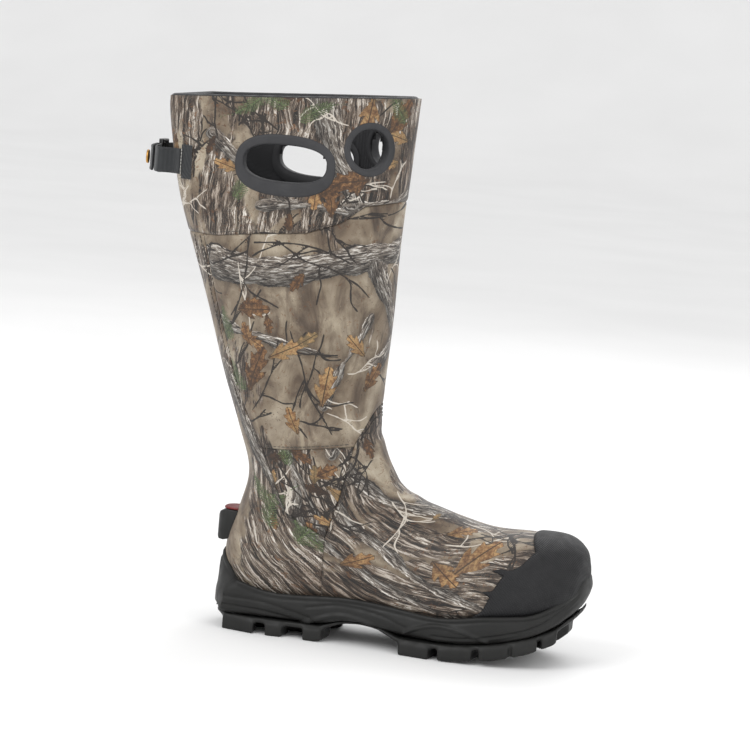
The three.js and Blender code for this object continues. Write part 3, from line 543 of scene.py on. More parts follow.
class Print:
    """Fields of a printed pattern at the points of a panel, in the panel's flat coordinates u and v."""

    def __init__(self, u, v, seed):
        self.u, self.v = u, v
        self.rng = np.random.default_rng(seed)
        self.low = (u.min() - 10, v.min() - 10)
        self.high = (u.max() + 10, v.max() + 10)
        self.bark, self.leaf, self.sprig = (self.bare() for _ in range(3))
        self.dark, self.pale = self.blank(), self.blank()
        self.tint = np.zeros(u.shape + (3,))

    def bare(self):
        return np.stack([np.full(self.u.shape, -6.0), self.u, self.v], axis=-1)

    def blank(self):
        return np.stack([np.full(self.u.shape, 6.0), np.full(self.u.shape, 6.0)], axis=-1)

    def spot(self):
        return tuple(self.rng.uniform(self.low, self.high))

    def close_to(self, line, margin):
        p = np.array(line)
        (lu, lv), (hu, hv) = p.min(axis=0) - margin, p.max(axis=0) + margin
        return (self.u > lu) & (self.u < hu) & (self.v > lv) & (self.v < hv)

    def around(self, spot, heading, reach):
        """The points within reach of a spot, and their coordinates along and across a heading."""
        near = (np.abs(self.u - spot[0]) < reach) & (np.abs(self.v - spot[1]) < reach)
        du, dv = self.u[near] - spot[0], self.v[near] - spot[1]
        cos, sin = math.cos(heading), math.sin(heading)
        return near, du * cos + dv * sin, dv * cos - du * sin

    def lay(self, field, near, better, *values):
        """Writes the values at the nearby points where they are better, and returns those points."""
        index = tuple(np.argwhere(near)[better].T)
        field[index] = np.stack(values, axis=-1)[better]
        return index

    def branch(self, line, half):
        """A limb with bark, thinner towards its end."""
        near = self.close_to(line, half + 8)
        if not near.any():
            return
        gap, side, way = line_distance(self.u[near], self.v[near], line)
        whole = way.max() + 1
        width = half * (1 - 0.45 * way / whole) + 1.2 * np.sin(way / 9.0) + 0.8 * np.sin(way / 3.7)
        depth = width - gap
        better = depth > self.bark[near][:, 0]
        index = self.lay(self.bark, near, better, depth, way, gap * side)
        self.tint[..., 2][index] = (gap * side / np.maximum(width, 1))[better]

    def line(self, field, line, margin=5.0):
        """A twig or needle: its distance, and its signed distance, which stays sharp between points."""
        near = self.close_to(line, margin)
        if not near.any():
            return
        gap, side, _ = line_distance(self.u[near], self.v[near], line)
        self.lay(field, near, gap < field[near][:, 0], gap, gap * side)

    def limbs(self, rows, steps=9, wander=0.12):
        """Each row: where a limb starts, its heading, its length and half its width."""
        for u0, v0, heading, length, half in rows:
            self.branch(rambling(self.rng, (u0, v0), heading, length, steps, wander), half)

    def twigs(self, field, count, length, heading, spread):
        for _ in range(count):
            turn = heading + self.rng.normal(0, spread)
            size = length * self.rng.uniform(0.5, 1.4)
            main = rambling(self.rng, self.spot(), turn, size, 7, 0.22)
            self.line(field, main)
            for k in range(4, len(main) - 2, 5):
                fork = turn + self.rng.choice([-1, 1]) * self.rng.uniform(0.4, 0.9)
                self.line(field, rambling(self.rng, tuple(main[k]), fork, size * 0.35, 4, 0.25))

    def sprig_at(self, spot, heading, long, wide):
        """A sprig of needles: where it is, and its own coordinates along and across its stem."""
        near, x, y = self.around(spot, heading, long * 1.3)
        y = y - 3 * np.sin(x / long * 2.2)
        width = wide * np.clip(1 - x / long, 0, 1) ** 0.45 * np.clip((x + 3) / (0.3 * long), 0, 1) ** 0.5
        depth = np.minimum(width - np.abs(y), x + 2)
        self.lay(self.sprig, near, depth > np.maximum(self.sprig[near][:, 0], -2), depth, x, y)

    def sprigs(self, rows, long=28):
        for spot, heading in rows:
            self.sprig_at(spot, heading, long, 7)

    def leaf_at(self, spot, heading, size, tone):
        """A lobed leaf, with its own coordinates for the veins."""
        near, x, y = self.around(spot, heading, size * 1.2)
        x, y = x / size, y / size
        tips = x - 1.1 * np.abs(y)
        lobes = 1 + 0.36 * np.sin(tips * 10 + 1.2) + 0.14 * np.sin(tips * 23)
        width = 0.42 * np.clip(1 - x * x, 0, 1) ** 0.7 * lobes
        depth = size * (width - np.abs(y)) * 0.8
        index = self.lay(self.leaf, near, depth > np.maximum(self.leaf[near][:, 0], -3), depth, x, y)
        self.tint[..., 0][index] = tone

    def leaves(self, count, low, high):
        for _ in range(count):
            spot, heading = self.spot(), self.rng.uniform(0, 6.3)
            self.leaf_at(spot, heading, self.rng.uniform(low, high), self.rng.uniform())

    def fields(self):
        return {
            "flat": np.stack([self.u, self.v, np.zeros_like(self.u)], axis=-1),
            "bark": self.bark,
            "leaf": self.leaf,
            "tint": self.tint,
            "dark": np.concatenate([self.dark, self.pale[..., :1]], axis=-1),
            "pale": np.concatenate([self.pale[..., 1:], self.dark], axis=-1),
            "sprig": self.sprig,
        }


def flat_coordinates(t, phi, p, around_foot):
    """Coordinates on the flattened panel: round the boot from the front line, and up or along it."""
    steps = np.linalg.norm(np.diff(p, axis=1, append=p[:, :1]), axis=-1)
    way = np.cumsum(steps, axis=1)
    middle = np.argmin(np.abs(phi[0]))
    u = way - way[:, middle : middle + 1]
    if not around_foot:
        return u, p[..., 2]
    line = skin(t[:, 0], np.full(t.shape[0], 0.9))
    along = np.concatenate([[0], np.cumsum(np.linalg.norm(np.diff(line, axis=0), axis=1))])
    return u, np.repeat(along[:, None], t.shape[1], axis=1)


# ---------------------------------------------------------------- node helpers

class Look:
    """A material and short ways to add nodes to it."""

    def __init__(self, name, colour, roughness, **sockets):
        self.material = bpy.data.materials.new(name)
        self.material.use_nodes = True
        self.nodes = self.material.node_tree.nodes
        self.links = self.material.node_tree.links
        self.shader = self.nodes["Principled BSDF"]
        self.shader.inputs["Base Color"].default_value = (*colour, 1)
        self.shader.inputs["Roughness"].default_value = roughness
        for key, value in sockets.items():
            self.shader.inputs[key.replace("_", " ")].default_value = value

    def link(self, value, socket):
        if isinstance(value, (int, float)):
            socket.default_value = value
        elif isinstance(value, tuple):
            socket.default_value = (*value, 1) if len(value) == 3 and socket.type == "RGBA" else value
        else:
            self.links.new(value, socket)

    def math(self, operation, a, b=0.0, c=0.0):
        node = self.nodes.new("ShaderNodeMath")
        node.operation = operation
        for value, socket in zip((a, b, c), node.inputs):
            self.link(value, socket)
        return node.outputs[0]

    def field(self, name):
        node = self.nodes.new("ShaderNodeAttribute")
        node.attribute_name = name
        parts = self.nodes.new("ShaderNodeSeparateXYZ")
        self.links.new(node.outputs["Vector"], parts.inputs[0])
        return list(parts.outputs)

    def vector(self, x, y, z=0.0):
        node = self.nodes.new("ShaderNodeCombineXYZ")
        for value, socket in zip((x, y, z), node.inputs):
            self.link(value, socket)
        return node.outputs[0]

    def place(self):
        return self.nodes.new("ShaderNodeTexCoord").outputs["Object"]

    def noise(self, vector, scale, detail=4.0, roughness=0.55, distortion=0.0):
        node = self.nodes.new("ShaderNodeTexNoise")
        self.link(vector, node.inputs["Vector"])
        for key, value in (("Scale", scale), ("Detail", detail), ("Roughness", roughness),
                           ("Distortion", distortion)):
            node.inputs[key].default_value = value
        return node.outputs["Fac"]

    def wave(self, vector, scale, distortion=0.0, direction="X"):
        node = self.nodes.new("ShaderNodeTexWave")
        node.bands_direction = direction
        self.link(vector, node.inputs["Vector"])
        node.inputs["Scale"].default_value = scale
        node.inputs["Distortion"].default_value = distortion
        return node.outputs["Fac"]

    def ramp(self, value, stops):
        node = self.nodes.new("ShaderNodeValToRGB")
        elements = node.color_ramp.elements
        while len(elements) < len(stops):
            elements.new(0.5)
        for element, (at, colour) in zip(elements, stops):
            element.position = at
            element.color = (*colour, 1)
        self.link(value, node.inputs[0])
        return node.outputs[0]

    def spread(self, value, low, high, out_low=0.0, out_high=1.0):
        node = self.nodes.new("ShaderNodeMapRange")
        for key, given in (("Value", value), ("From Min", low), ("From Max", high),
                           ("To Min", out_low), ("To Max", out_high)):
            self.link(given, node.inputs[key])
        return node.outputs[0]

    def mix(self, share, a, b, blend="MIX"):
        node = self.nodes.new("ShaderNodeMix")
        node.data_type = "RGBA"
        node.blend_type = blend
        self.link(share, node.inputs["Factor"])
        self.link(a, node.inputs["A"])
        self.link(b, node.inputs["B"])
        return node.outputs["Result"]

    def tinted(self, colour, by):
        return self.mix(1.0, colour, by, "MULTIPLY")

    def grey(self, value):
        return self.vector(value, value, value)

    def colour(self, value):
        self.links.new(value, self.shader.inputs["Base Color"])

    def rough(self, value):
        self.links.new(value, self.shader.inputs["Roughness"])

    def bump(self, height, strength, distance):
        node = self.nodes.new("ShaderNodeBump")
        node.inputs["Strength"].default_value = strength
        node.inputs["Distance"].default_value = distance * MM
        self.link(height, node.inputs["Height"])
        before = self.shader.inputs["Normal"]
        if before.is_linked:
            self.links.new(before.links[0].from_socket, node.inputs["Normal"])
        self.links.new(node.outputs[0], before)


def camo_ground(look, flat, here, streaks, litter):
    """Mottled ground with upright bark showing through it, strewn with litter."""
    ground_at = look.vector(flat[0], look.math("MULTIPLY", flat[1], 0.45))
    soft = look.noise(ground_at, 0.045, 6, 0.62, 0.8)
    ground = look.ramp(soft, [
        (0.30, (0.055, 0.038, 0.027)),
        (0.42, (0.16, 0.122, 0.085)),
        (0.53, (0.29, 0.24, 0.172)),
        (0.68, (0.40, 0.35, 0.27)),
    ])
    # Broad darker patches, as of shade
    shade_patch = look.spread(look.noise(here, 0.022, 3), 0.42, 0.6, 1.0, 0.0)
    # Upright bark, in long ragged streaks
    bend = look.noise(here, 0.03, 2)
    across = look.math("ADD", flat[0], look.math("MULTIPLY", bend, 9.0))
    streak_at = look.vector(across, look.math("MULTIPLY", flat[1], 0.1))
    streak = look.noise(streak_at, 0.36, 9, 0.74, 1.0)
    trunk = look.ramp(streak, [
        (0.42, (0.008, 0.006, 0.004)),
        (0.48, (0.05, 0.034, 0.025)),
        (0.54, (0.20, 0.158, 0.118)),
        (0.60, (0.66, 0.62, 0.56)),
    ])
    patch = look.noise(ground_at, 0.018, 4, 0.6, 0.6)
    base = look.mix(look.spread(patch, 0.56 - streaks, 0.585 - streaks), ground, trunk)
    # Fallen litter: small scattered flecks
    flecks = look.noise(here, 0.30, 8, 0.78, 1.6)
    base = look.mix(look.spread(flecks, 0.60 - litter, 0.63 - litter, 0, 0.85), base, (0.045, 0.026, 0.016))
    base = look.mix(look.spread(flecks, 0.38 + litter, 0.35 + litter, 0, 0.75), base, (0.48, 0.43, 0.35))
    rust = look.noise(here, 0.22, 6, 0.7, 1.2)
    base = look.mix(look.spread(rust, 0.60 - litter, 0.64 - litter, 0, 0.8), base, (0.16, 0.075, 0.03))
    return look.mix(look.math("MULTIPLY", shade_patch, 0.8), base, look.tinted(base, (0.4, 0.33, 0.28)))


def camo_limbs(look, base, bark, tint):
    """Limbs: dark on one side, light on the other, with grain along them and a shadow beside them."""
    ragged = look.noise(look.vector(bark[1], bark[2]), 0.5, 5, 0.7)
    limb = look.spread(look.math("ADD", bark[0], look.spread(ragged, 0, 1, -2.2, 2.2)), -0.15, 0.2)
    grain_at = look.vector(look.math("MULTIPLY", bark[1], 0.15), bark[2])
    grain = look.noise(grain_at, 0.62, 9, 0.74, 1.0)
    limb_colour = look.ramp(grain, [
        (0.39, (0.010, 0.007, 0.006)),
        (0.46, (0.05, 0.037, 0.03)),
        (0.53, (0.21, 0.175, 0.14)),
        (0.61, (0.66, 0.63, 0.58)),
    ])
    shade = look.spread(tint[2], -1, 1, 0.22, 1.1)
    shaded = look.tinted(limb_colour, look.grey(shade))
    shadow = look.spread(bark[0], -5, -0.5, 0, 0.55)
    base = look.mix(shadow, base, look.tinted(base, (0.35, 0.3, 0.26)))
    return look.mix(limb, base, shaded)


def camo_twigs(look, base, here, dark, pale):
    def fine(near, signed, half):
        """A thin line, where the signed distance passes through nothing close to a twig."""
        width = look.spread(look.noise(here, 0.12, 2), 0.3, 0.7, half * 0.5, half * 1.4)
        on = look.spread(look.math("SUBTRACT", width, look.math("ABSOLUTE", signed)), -0.12, 0.12)
        return look.math("MULTIPLY", on, look.math("LESS_THAN", near, 1.4))

    base = look.mix(look.math("MULTIPLY", fine(dark[2], pale[0], 0.5), 0.85), base, (0.55, 0.50, 0.43))
    return look.mix(fine(dark[0], dark[1], 0.7), base, (0.014, 0.009, 0.006))


def camo_leaves(look, base, here, flat, leaf, tint):
    """Leaves with a dark edge, a midrib and side veins."""
    tear = look.noise(here, 0.3, 5, 0.7)
    edge = look.math("ADD", leaf[0], look.spread(tear, 0, 1, -1.8, 1.8))
    mottle = look.noise(look.vector(flat[0], flat[1], tint[0]), 0.25, 6, 0.75)
    tone = look.math("ADD", tint[0], look.spread(mottle, 0.3, 0.7, -0.4, 0.4))
    leaf_colour = look.ramp(tone, [
        (0.0, (0.022, 0.011, 0.006)),
        (0.3, (0.075, 0.034, 0.013)),
        (0.55, (0.19, 0.092, 0.034)),
        (0.8, (0.38, 0.235, 0.10)),
        (1.0, (0.16, 0.11, 0.05)),
    ])
    lit = look.spread(leaf[1], -1, 1, 0.55, 1.2)
    leaf_colour = look.tinted(leaf_colour, look.grey(lit))
    rib = look.spread(look.math("ABSOLUTE", leaf[2]), 0.012, 0.04, 1, 0)
    slant = look.math("ADD", leaf[1], look.math("ABSOLUTE", leaf[2]))
    veins = look.wave(look.vector(slant, 0.0), 1.6)
    leaf_colour = look.mix(look.spread(veins, 0.88, 1.0, 0, 0.4), leaf_colour, (0.05, 0.026, 0.012))
    leaf_colour = look.mix(rib, leaf_colour, (0.035, 0.018, 0.008))
    leaf_colour = look.mix(look.spread(edge, 0.8, 0.15, 0, 0.8), leaf_colour, (0.02, 0.012, 0.007))
    return look.mix(look.spread(edge, -0.1, 0.15), base, leaf_colour)


def camo_needles(look, base, here, sprig):
    """Sprigs: slanted strokes on both sides of a stem."""
    away = look.math("ABSOLUTE", sprig[2])
    step = look.math("DIVIDE", look.math("SUBTRACT", sprig[1], look.math("MULTIPLY", away, 1.05)), 2.1)
    stroke = look.math("ABSOLUTE", look.math("SUBTRACT", look.math("FRACT", step), 0.5))
    uneven = look.spread(look.noise(here, 0.6, 3), 0.3, 0.7, -2.5, 2.5)
    inside_sprig = look.spread(look.math("ADD", sprig[0], uneven), 0, 0.3)
    stem = look.math("LESS_THAN", away, 0.45)
    needle = look.math("MAXIMUM", look.spread(stroke, 0.32, 0.2), stem)
    needle = look.math("MULTIPLY", needle, inside_sprig)
    green = look.ramp(look.noise(here, 0.5, 2), [(0.35, (0.028, 0.042, 0.014)), (0.65, (0.095, 0.13, 0.05))])
    under = look.math("MULTIPLY", inside_sprig, 0.15)
    base = look.mix(under, base, (0.02, 0.032, 0.012))
    return look.mix(needle, base, green)


def camo_look(name, streaks, litter):
    """Printed, rubber-coated fabric. `streaks` says how much bark shows, `litter` how much lies on it."""
    look = Look(name, (0.25, 0.2, 0.15), 0.62, Sheen_Weight=0.12, Sheen_Roughness=0.5)
    names = ("flat", "bark", "leaf", "tint", "sprig", "dark", "pale")
    flat, bark, leaf, tint, sprig, dark, pale = (look.field(n) for n in names)
    here = look.vector(flat[0], flat[1])
    base = camo_ground(look, flat, here, streaks, litter)
    base = camo_limbs(look, base, bark, tint)
    base = camo_twigs(look, base, here, dark, pale)
    base = camo_leaves(look, base, here, flat, leaf, tint)
    look.colour(camo_needles(look, base, here, sprig))
    place = look.place()
    look.rough(look.spread(look.noise(place, 900, 3), 0.3, 0.7, 0.5, 0.68))
    weave = look.math("ADD", look.wave(place, 520, 0.4, "Z"), look.wave(place, 520, 0.4, "DIAGONAL"))
    look.bump(weave, 0.12, 0.12)
    look.bump(look.noise(place, 55, 3), 0.35, 1.1)
    return look.material


def rubber_look(name, colour, roughness, grain_scale, grain, ribs=0.0):
    look = Look(name, colour, roughness, Specular_IOR_Level=0.3)
    place = look.place()
    tone = look.noise(place, 30, 4)
    light = tuple(c * 1.5 + 0.002 for c in colour)
    look.colour(look.ramp(tone, [(0.3, colour), (0.75, light)]))
    look.rough(look.spread(look.noise(place, 140, 5), 0.3, 0.7, roughness - 0.08, roughness + 0.1))
    if ribs:
        look.bump(look.wave(place, ribs, 0.0, "DIAGONAL"), 0.7, 0.35)
    look.bump(look.noise(place, grain_scale, 4, 0.6), grain, 0.25)
    return look.material


def woven_look(name, colour, pitch, depth):
    look = Look(name, colour, 0.85, Sheen_Weight=0.25, Sheen_Roughness=0.4)
    place = look.place()
    cross = look.math("MULTIPLY", look.wave(place, pitch, 0.3, "Z"), look.wave(place, pitch, 0.3, "Y"))
    light = tuple(c * 2.2 + 0.01 for c in colour)
    look.colour(look.mix(look.math("MULTIPLY", cross, look.noise(place, 200, 3)), colour, light))
    look.bump(cross, 0.6, depth)
    return look.material


def metal_look(name, colour, roughness):
    look = Look(name, colour, roughness, Metallic=1.0)
    place = look.place()
    worn = look.noise(place, 260, 5, 0.7)
    look.colour(look.ramp(worn, [(0.3, tuple(c * 0.55 for c in colour)), (0.65, colour)]))
    look.rough(look.spread(worn, 0.3, 0.7, roughness - 0.1, roughness + 0.15))
    look.bump(look.noise(place, 700, 3), 0.15, 0.1)
    return look.material


def plastic_look(name, colour, roughness, grain):
    look = Look(name, colour, roughness)
    place = look.place()
    light = tuple(c * 1.6 + 0.003 for c in colour)
    look.colour(look.ramp(look.noise(place, 60, 3), [(0.3, colour), (0.8, light)]))
    look.rough(look.spread(look.noise(place, 180, 4), 0.3, 0.7, roughness - 0.05, roughness + 0.08))
    look.bump(look.noise(place, 900, 2), grain, 0.08)
    return look.material


looks = {
    "camo_shaft": camo_look("camo_shaft", -0.03, 0.0),
    "camo_collar": camo_look("camo_collar", 0.13, 0.02),
    "camo_foot": camo_look("camo_foot", 0.07, 0.01),
    "stretch_fabric": woven_look("stretch_knit", (0.02, 0.02, 0.021), 420, 0.4),
    "toe_rubber": rubber_look("toe_rubber", (0.010, 0.010, 0.011), 0.6, 500, 0.2, ribs=230),
    "ring_rubber": rubber_look("ring_rubber", (0.030, 0.030, 0.032), 0.65, 700, 0.25),
    "sole_rubber": rubber_look("sole_rubber", (0.009, 0.009, 0.0085), 0.5, 350, 0.2),
    "midsole_foam": rubber_look("midsole_rubber", (0.05, 0.05, 0.05), 0.8, 300, 0.3),
    "foam": rubber_look("bootie_foam", (0.03, 0.03, 0.03), 0.85, 600, 0.4),
    "lining": woven_look("lining_knit", (0.018, 0.018, 0.02), 300, 0.5),
    "footbed": woven_look("footbed_cloth", (0.05, 0.05, 0.055), 300, 0.3),
    "board": rubber_look("insole_board", (0.35, 0.28, 0.2), 0.8, 400, 0.3),
    "stiffener": plastic_look("stiffener_sheet", (0.25, 0.25, 0.25), 0.6, 0.2),
    "webbing": woven_look("strap_webbing", (0.018, 0.0195, 0.021), 330, 0.5),
    "hard_plastic": plastic_look("black_plastic", (0.008, 0.008, 0.008), 0.28, 0.1),
    "steel": metal_look("plated_steel", (0.6, 0.6, 0.6), 0.3),
    "brass": metal_look("aged_brass", (0.62, 0.33, 0.09), 0.3),
    "accent": plastic_look("red_strip", (0.115, 0.008, 0.008), 0.5, 0.2),
    "thread": woven_look("sewing_thread", (0.06, 0.05, 0.04), 900, 0.2),
    "pale_thread": woven_look("pale_thread", (0.35, 0.34, 0.32), 900, 0.2),
}


# ---------------------------------------------------------------- the upper's panels

rim_t, rim_phi = base_grid(0, LAST - 0.15, ROW_STEP, AROUND)
rim_start = rim_times(rim_phi[0])
share_down = (rim_t - rim_t[0]) / (rim_t[-1] - rim_t[0])
UPPER_T = rim_start[None, :] + share_down * (rim_t[-1] - rim_start[None, :])
UPPER_PHI = rim_phi
UPPER_POINTS = skin(UPPER_T, UPPER_PHI)


# The smooth skin of the shaft, to drop other pieces onto
SKIN_TREE = BVHTree.FromPolygons(UPPER_POINTS.reshape(-1, 3).tolist(), grid_faces(*UPPER_T.shape).tolist())

# The openings: name, x, z, half sizes and shape of the ring's outer edge, then of the hole, and its rise.
grab_middle = collar_height - collar_drop / 2 - 53
eye_middle = collar_height - 42
OPENINGS = [
    ("grab", 0.5, grab_middle, (40, 24.5, 2.5), (33, 14.5, 2.6), 1.55),
    ("eye", collar_front - 27, eye_middle, (21.5, 21.5, 2.0), (15.9, 15.9, 2.0), 0.0),
]


def opening_seat(x, z, side):
    """Where an opening's axis meets the skin, and its right, up and outward directions."""
    t, phi = locate([x], [z])
    phi = phi * side
    place = skin(t, phi)[0]
    out = skin_normal(t, phi)[0]
    out = np.array([out[0], out[1], 0]) / math.hypot(out[0], out[1])
    right = np.array([-out[1], out[0], 0])
    return place, right, np.array([0, 0, 1.0]), out


FAR_OFF = 99.0  # stands for the distance of a point beyond an opening's reach
OPENING_REACH = 24  # how far an opening reaches along its axis, so that it leaves the other wall alone


def opening_distance(p, shrink):
    """Distance outside the rings' outer edges, made smaller by `shrink`, for every point of the shaft."""
    nearest = np.full(p.shape[:-1], FAR_OFF)
    for _, x, z, (half_x, half_z, shape), _, _ in OPENINGS:
        for side in (-1, 1):
            place, right, up, out = opening_seat(x, z, side)
            offset = p - place
            a, b, depth = offset @ right, offset @ up, offset @ out
            power = np.abs(a / (half_x - shrink)) ** shape + np.abs(b / (half_z - shrink)) ** shape
            gap = (power ** (1 / shape) - 1) * min(half_x, half_z)
            nearest = np.minimum(nearest, np.where(np.abs(depth) < OPENING_REACH, gap, FAR_OFF))
    return nearest


def collar_with_holes(x, y, z):
    p = np.stack([x, y, z], axis=-1)
    return np.minimum(collar_distance(x, y, z), opening_distance(p, 3))


def folds(x, z):
    """Soft creases of the fabric at the ankle and where the shaft bends."""
    crease = [
        ([(92, 172), (60, 160), (20, 146)], 1.2, 6.0),
        ([(88, 186), (62, 182), (34, 178)], 0.7, 7.0),
        ([(104, 132), (78, 118), (66, 96)], 0.8, 6.0),
        ([(-30, 190), (0, 196), (30, 190)], 0.5, 9.0),
        ([(126, 118), (112, 96), (106, 70)], 0.6, 8.0),
    ]
    lift = np.zeros(x.shape)
    for points, depth, wide in crease:
        gap, _, _ = line_distance(x, z, curve(points, 12))
        lift -= depth * np.exp(-((gap / wide) ** 2))
    return lift


def waves(p, seed, size):
    """Slight unevenness of soft fabric, the same on every run."""
    rng = np.random.default_rng(seed)
    lift = np.zeros(p.shape[:-1])
    for _ in range(7):
        turn = rng.normal(0, 1, 3)
        turn *= rng.uniform(0.03, 0.09) / np.linalg.norm(turn)
        lift += np.sin(p @ turn + rng.uniform(0, 6.3))
    return lift * size / 7


def panel(name, slot, look, distance, node, lift, seed=1, foot=False, rim=1.6, paint=None, shape=None):
    """One panel of the upper: the skin inside its edge, rolled in a little along the seam."""
    t, phi, d, faces = trimmed(UPPER_T, UPPER_PHI, distance)
    flat = skin(t, phi)
    roll = 0.9 * np.exp(-np.maximum(d, 0) / 0.9)
    height = lift - roll + folds(flat[..., 0], flat[..., 2]) + waves(flat, 5, 0.7)
    if shape is not None:
        height = height + shape(flat, d)
    points = flat + skin_normal(t, phi) * height[..., None]
    fields = {}
    if paint:
        u, v = flat_coordinates(t, phi, flat, foot)
        mask = np.zeros(u.size, bool)
        mask[[vertex for face in faces for vertex in face]] = True
        mask = mask.reshape(u.shape)
        printed = Print(np.where(mask, u, u[mask].mean()), np.where(mask, v, v[mask].mean()), seed)
        paint(printed)
        fields = printed.fields()
    names = list(fields)
    faces, kept = used_only(faces, points, *[fields[n] for n in names])
    made = mesh_object(name, kept[0], faces, dict(zip(names, kept[1:])))
    give_rim(made, rim)
    put(made, "boot", slot, look, node)


def paint_shaft(print_):
    """Limbs across the shaft, with forks, twigs and scattered leaves."""
    print_.limbs((
        (-170, 296, -0.1, 330, 13),
        (-30, 310, -0.95, 140, 9),
        (-20, 222, 0.75, 150, 6),
        (-175, 248, 0.15, 110, 4.5),
        (40, 250, -0.3, 190, 8),
        (60, 330, -1.2, 150, 6),
        (-60, 190, 1.2, 80, 4.0),
        (150, 210, 2.2, 120, 5),
    ), wander=0.14)
    print_.twigs(print_.dark, 34, 74, 0.3, 1.3)
    print_.twigs(print_.pale, 16, 60, 1.0, 1.0)
    for u0, v0, size, heading in (
        (-120, 214, 20, 1.3), (-96, 232, 15, 0.5), (-60, 206, 17, 1.5), (-40, 240, 12, 2.4),
        (-128, 262, 15, 0.1), (-20, 215, 14, 1.0), (30, 230, 18, 0.7), (90, 215, 18, 2.0),
        (120, 262, 16, 0.4), (-84, 176, 12, 2.0), (60, 190, 14, 1.4),
    ):
        print_.leaf_at((u0, v0), heading, size, print_.rng.uniform(0.35, 0.85))
    print_.leaves(16, 6, 12)
    print_.sprigs((((-150, 236), 1.9), ((-132, 196), 2.1), ((120, 300), 1.2), ((10, 270), 0.6)), long=27)


def paint_collar(print_):
    """Ragged limbs hanging from the rim, with many leaves."""
    print_.limbs((
        (-88, 440, -1.45, 100, 12),
        (-176, 398, -0.5, 90, 5),
        (-60, 350, 0.1, 120, 5),
        (-130, 345, 0.2, 70, 4),
        (30, 440, -1.4, 110, 10),
        (90, 400, -0.3, 90, 6),
        (160, 440, -1.7, 110, 8),
    ), steps=7)
    print_.twigs(print_.dark, 30, 52, 1.2, 1.2)
    print_.twigs(print_.pale, 18, 50, 1.4, 0.7)
    print_.leaves(34, 7, 18)
    print_.sprigs((((-118, 425), 2.6), ((-104, 416), 0.4), ((-136, 432), -2.6), ((-150, 350), 1.0),
                   ((70, 420), 0.5), ((120, 425), 2.2), ((-20, 420), 2.0)))


def paint_back(print_):
    """Limbs that lean down the back of the leg, with needles about the heel."""
    print_.limbs((
        (-160, 210, -1.0, 200, 8),
        (-120, 160, -1.3, 120, 7),
        (-130, 300, -1.6, 90, 4),
        (150, 240, -1.8, 190, 8),
        (110, 150, -1.2, 120, 6),
    ))
    print_.twigs(print_.dark, 22, 52, 1.2, 1.2)
    print_.twigs(print_.pale, 14, 50, 1.4, 0.7)
    print_.leaves(26, 6, 15)
    print_.sprigs((((-120, 90), 1.0), ((-104, 80), 0.4), ((-110, 106), 2.2), ((-150, 240), 1.4),
                   ((-140, 200), 1.2), ((120, 90), 2.0), ((150, 220), 1.5), ((-90, 70), 1.8)))


def paint_vamp(print_):
    """Limbs and twigs that run along the foot."""
    low, high = print_.v.min(), print_.v.max()
    print_.limbs((u0, mixed(low, high, share), *rest) for u0, share, *rest in (
        (-40, 0.0, 1.7, 150, 7),
        (-66, 0.25, 1.45, 150, 5),
        (20, 0.0, 1.5, 150, 7),
        (60, 0.2, 1.6, 150, 6),
        (-92, 0.3, 1.5, 140, 4),
        (-10, 0.45, 1.3, 90, 4),
    ))
    print_.twigs(print_.dark, 34, 46, 1.57, 0.5)
    print_.twigs(print_.pale, 26, 50, 1.57, 0.4)
    for u0, share, size, heading in ((-48, 0.8, 24, 0.6), (-66, 0.72, 16, 2.2), (-24, 0.7, 14, 1.0),
                                     (40, 0.75, 20, 2.4), (-84, 0.5, 13, 0.4)):
        print_.leaf_at((u0, mixed(low, high, share)), heading, size, 0.58)
    print_.leaves(20, 5, 11)


def paint_quarter(print_):
    """Short limbs and needles wherever they fall."""
    rng = print_.rng
    for _ in range(7):
        print_.branch(rambling(rng, print_.spot(), 1.3, 70, 6, 0.2), rng.uniform(3, 6))
    print_.twigs(print_.dark, 26, 40, 1.2, 0.9)
    print_.twigs(print_.pale, 16, 40, 1.2, 0.7)
    print_.leaves(16, 5, 12)
    for _ in range(4):
        print_.sprig_at(print_.spot(), rng.uniform(0.5, 2.5), 24, 6)


# The vamp's print runs along the foot, the others' up the leg
for name, look, distance, node, lift, seed, paint in (
    ("shaft_fabric", "camo_shaft", shaft_distance, "shaft_panel", 0.0, 11, paint_shaft),
    ("collar_fabric", "camo_collar", collar_with_holes, "collar_panel", 0.5, 12, paint_collar),
    ("backstay_fabric", "camo_foot", backstay_distance, "backstay_panel", 0.35, 13, paint_back),
    ("vamp_fabric", "camo_foot", vamp_distance, "vamp_panel", 0.3, 14, paint_vamp),
    ("quarter_fabric_outer", "camo_foot", quarter_on(-1), "ankle_quarter_outer", -0.1, 15, paint_quarter),
    ("quarter_fabric_inner", "camo_foot", quarter_on(1), "ankle_quarter_inner", -0.1, 16, paint_quarter),
):
    panel(name, "camo", looks[look], distance, node, lift, seed, foot=node == "vamp_panel", paint=paint)


def pleats(p, d):
    """The stretch panel sits back between the collar's wings, in soft upright pleats."""
    back = np.minimum(np.maximum(d, 0) / 8, 1)
    return -2.2 * back + 0.9 * back * np.cos(p[..., 1] / 5.2)


panel("gusset_fabric", "stretch_fabric", looks["stretch_fabric"], gusset_distance, "gusset_panel", -0.8,
      shape=pleats)


def cap_swell(p, d):
    """The toe cap is thickest away from its edge."""
    return 0.5 * (1 - np.exp(-np.maximum(d, 0) / 4))


panel("toe_cap_rubber", "toe_rubber", looks["toe_rubber"], cap_distance, "toe_cap", 1.7, rim=1.8,
      shape=cap_swell)


# ---------------------------------------------------------------- inside of the boot

LINING_COLUMNS = 150
LINING_ROWS = 110
LINING_LAST = 9.6  # the lining ends at this section, under the heel
# The roll over the rim: how far inside the skin, and how far above the rim
LINING_ROLL = [(1.7, -3.0), (1.8, -0.4), (2.4, 0.5), (3.6, 1.1), (5.4, 1.2), (7.2, 0.6), (8.3, -1.0)]


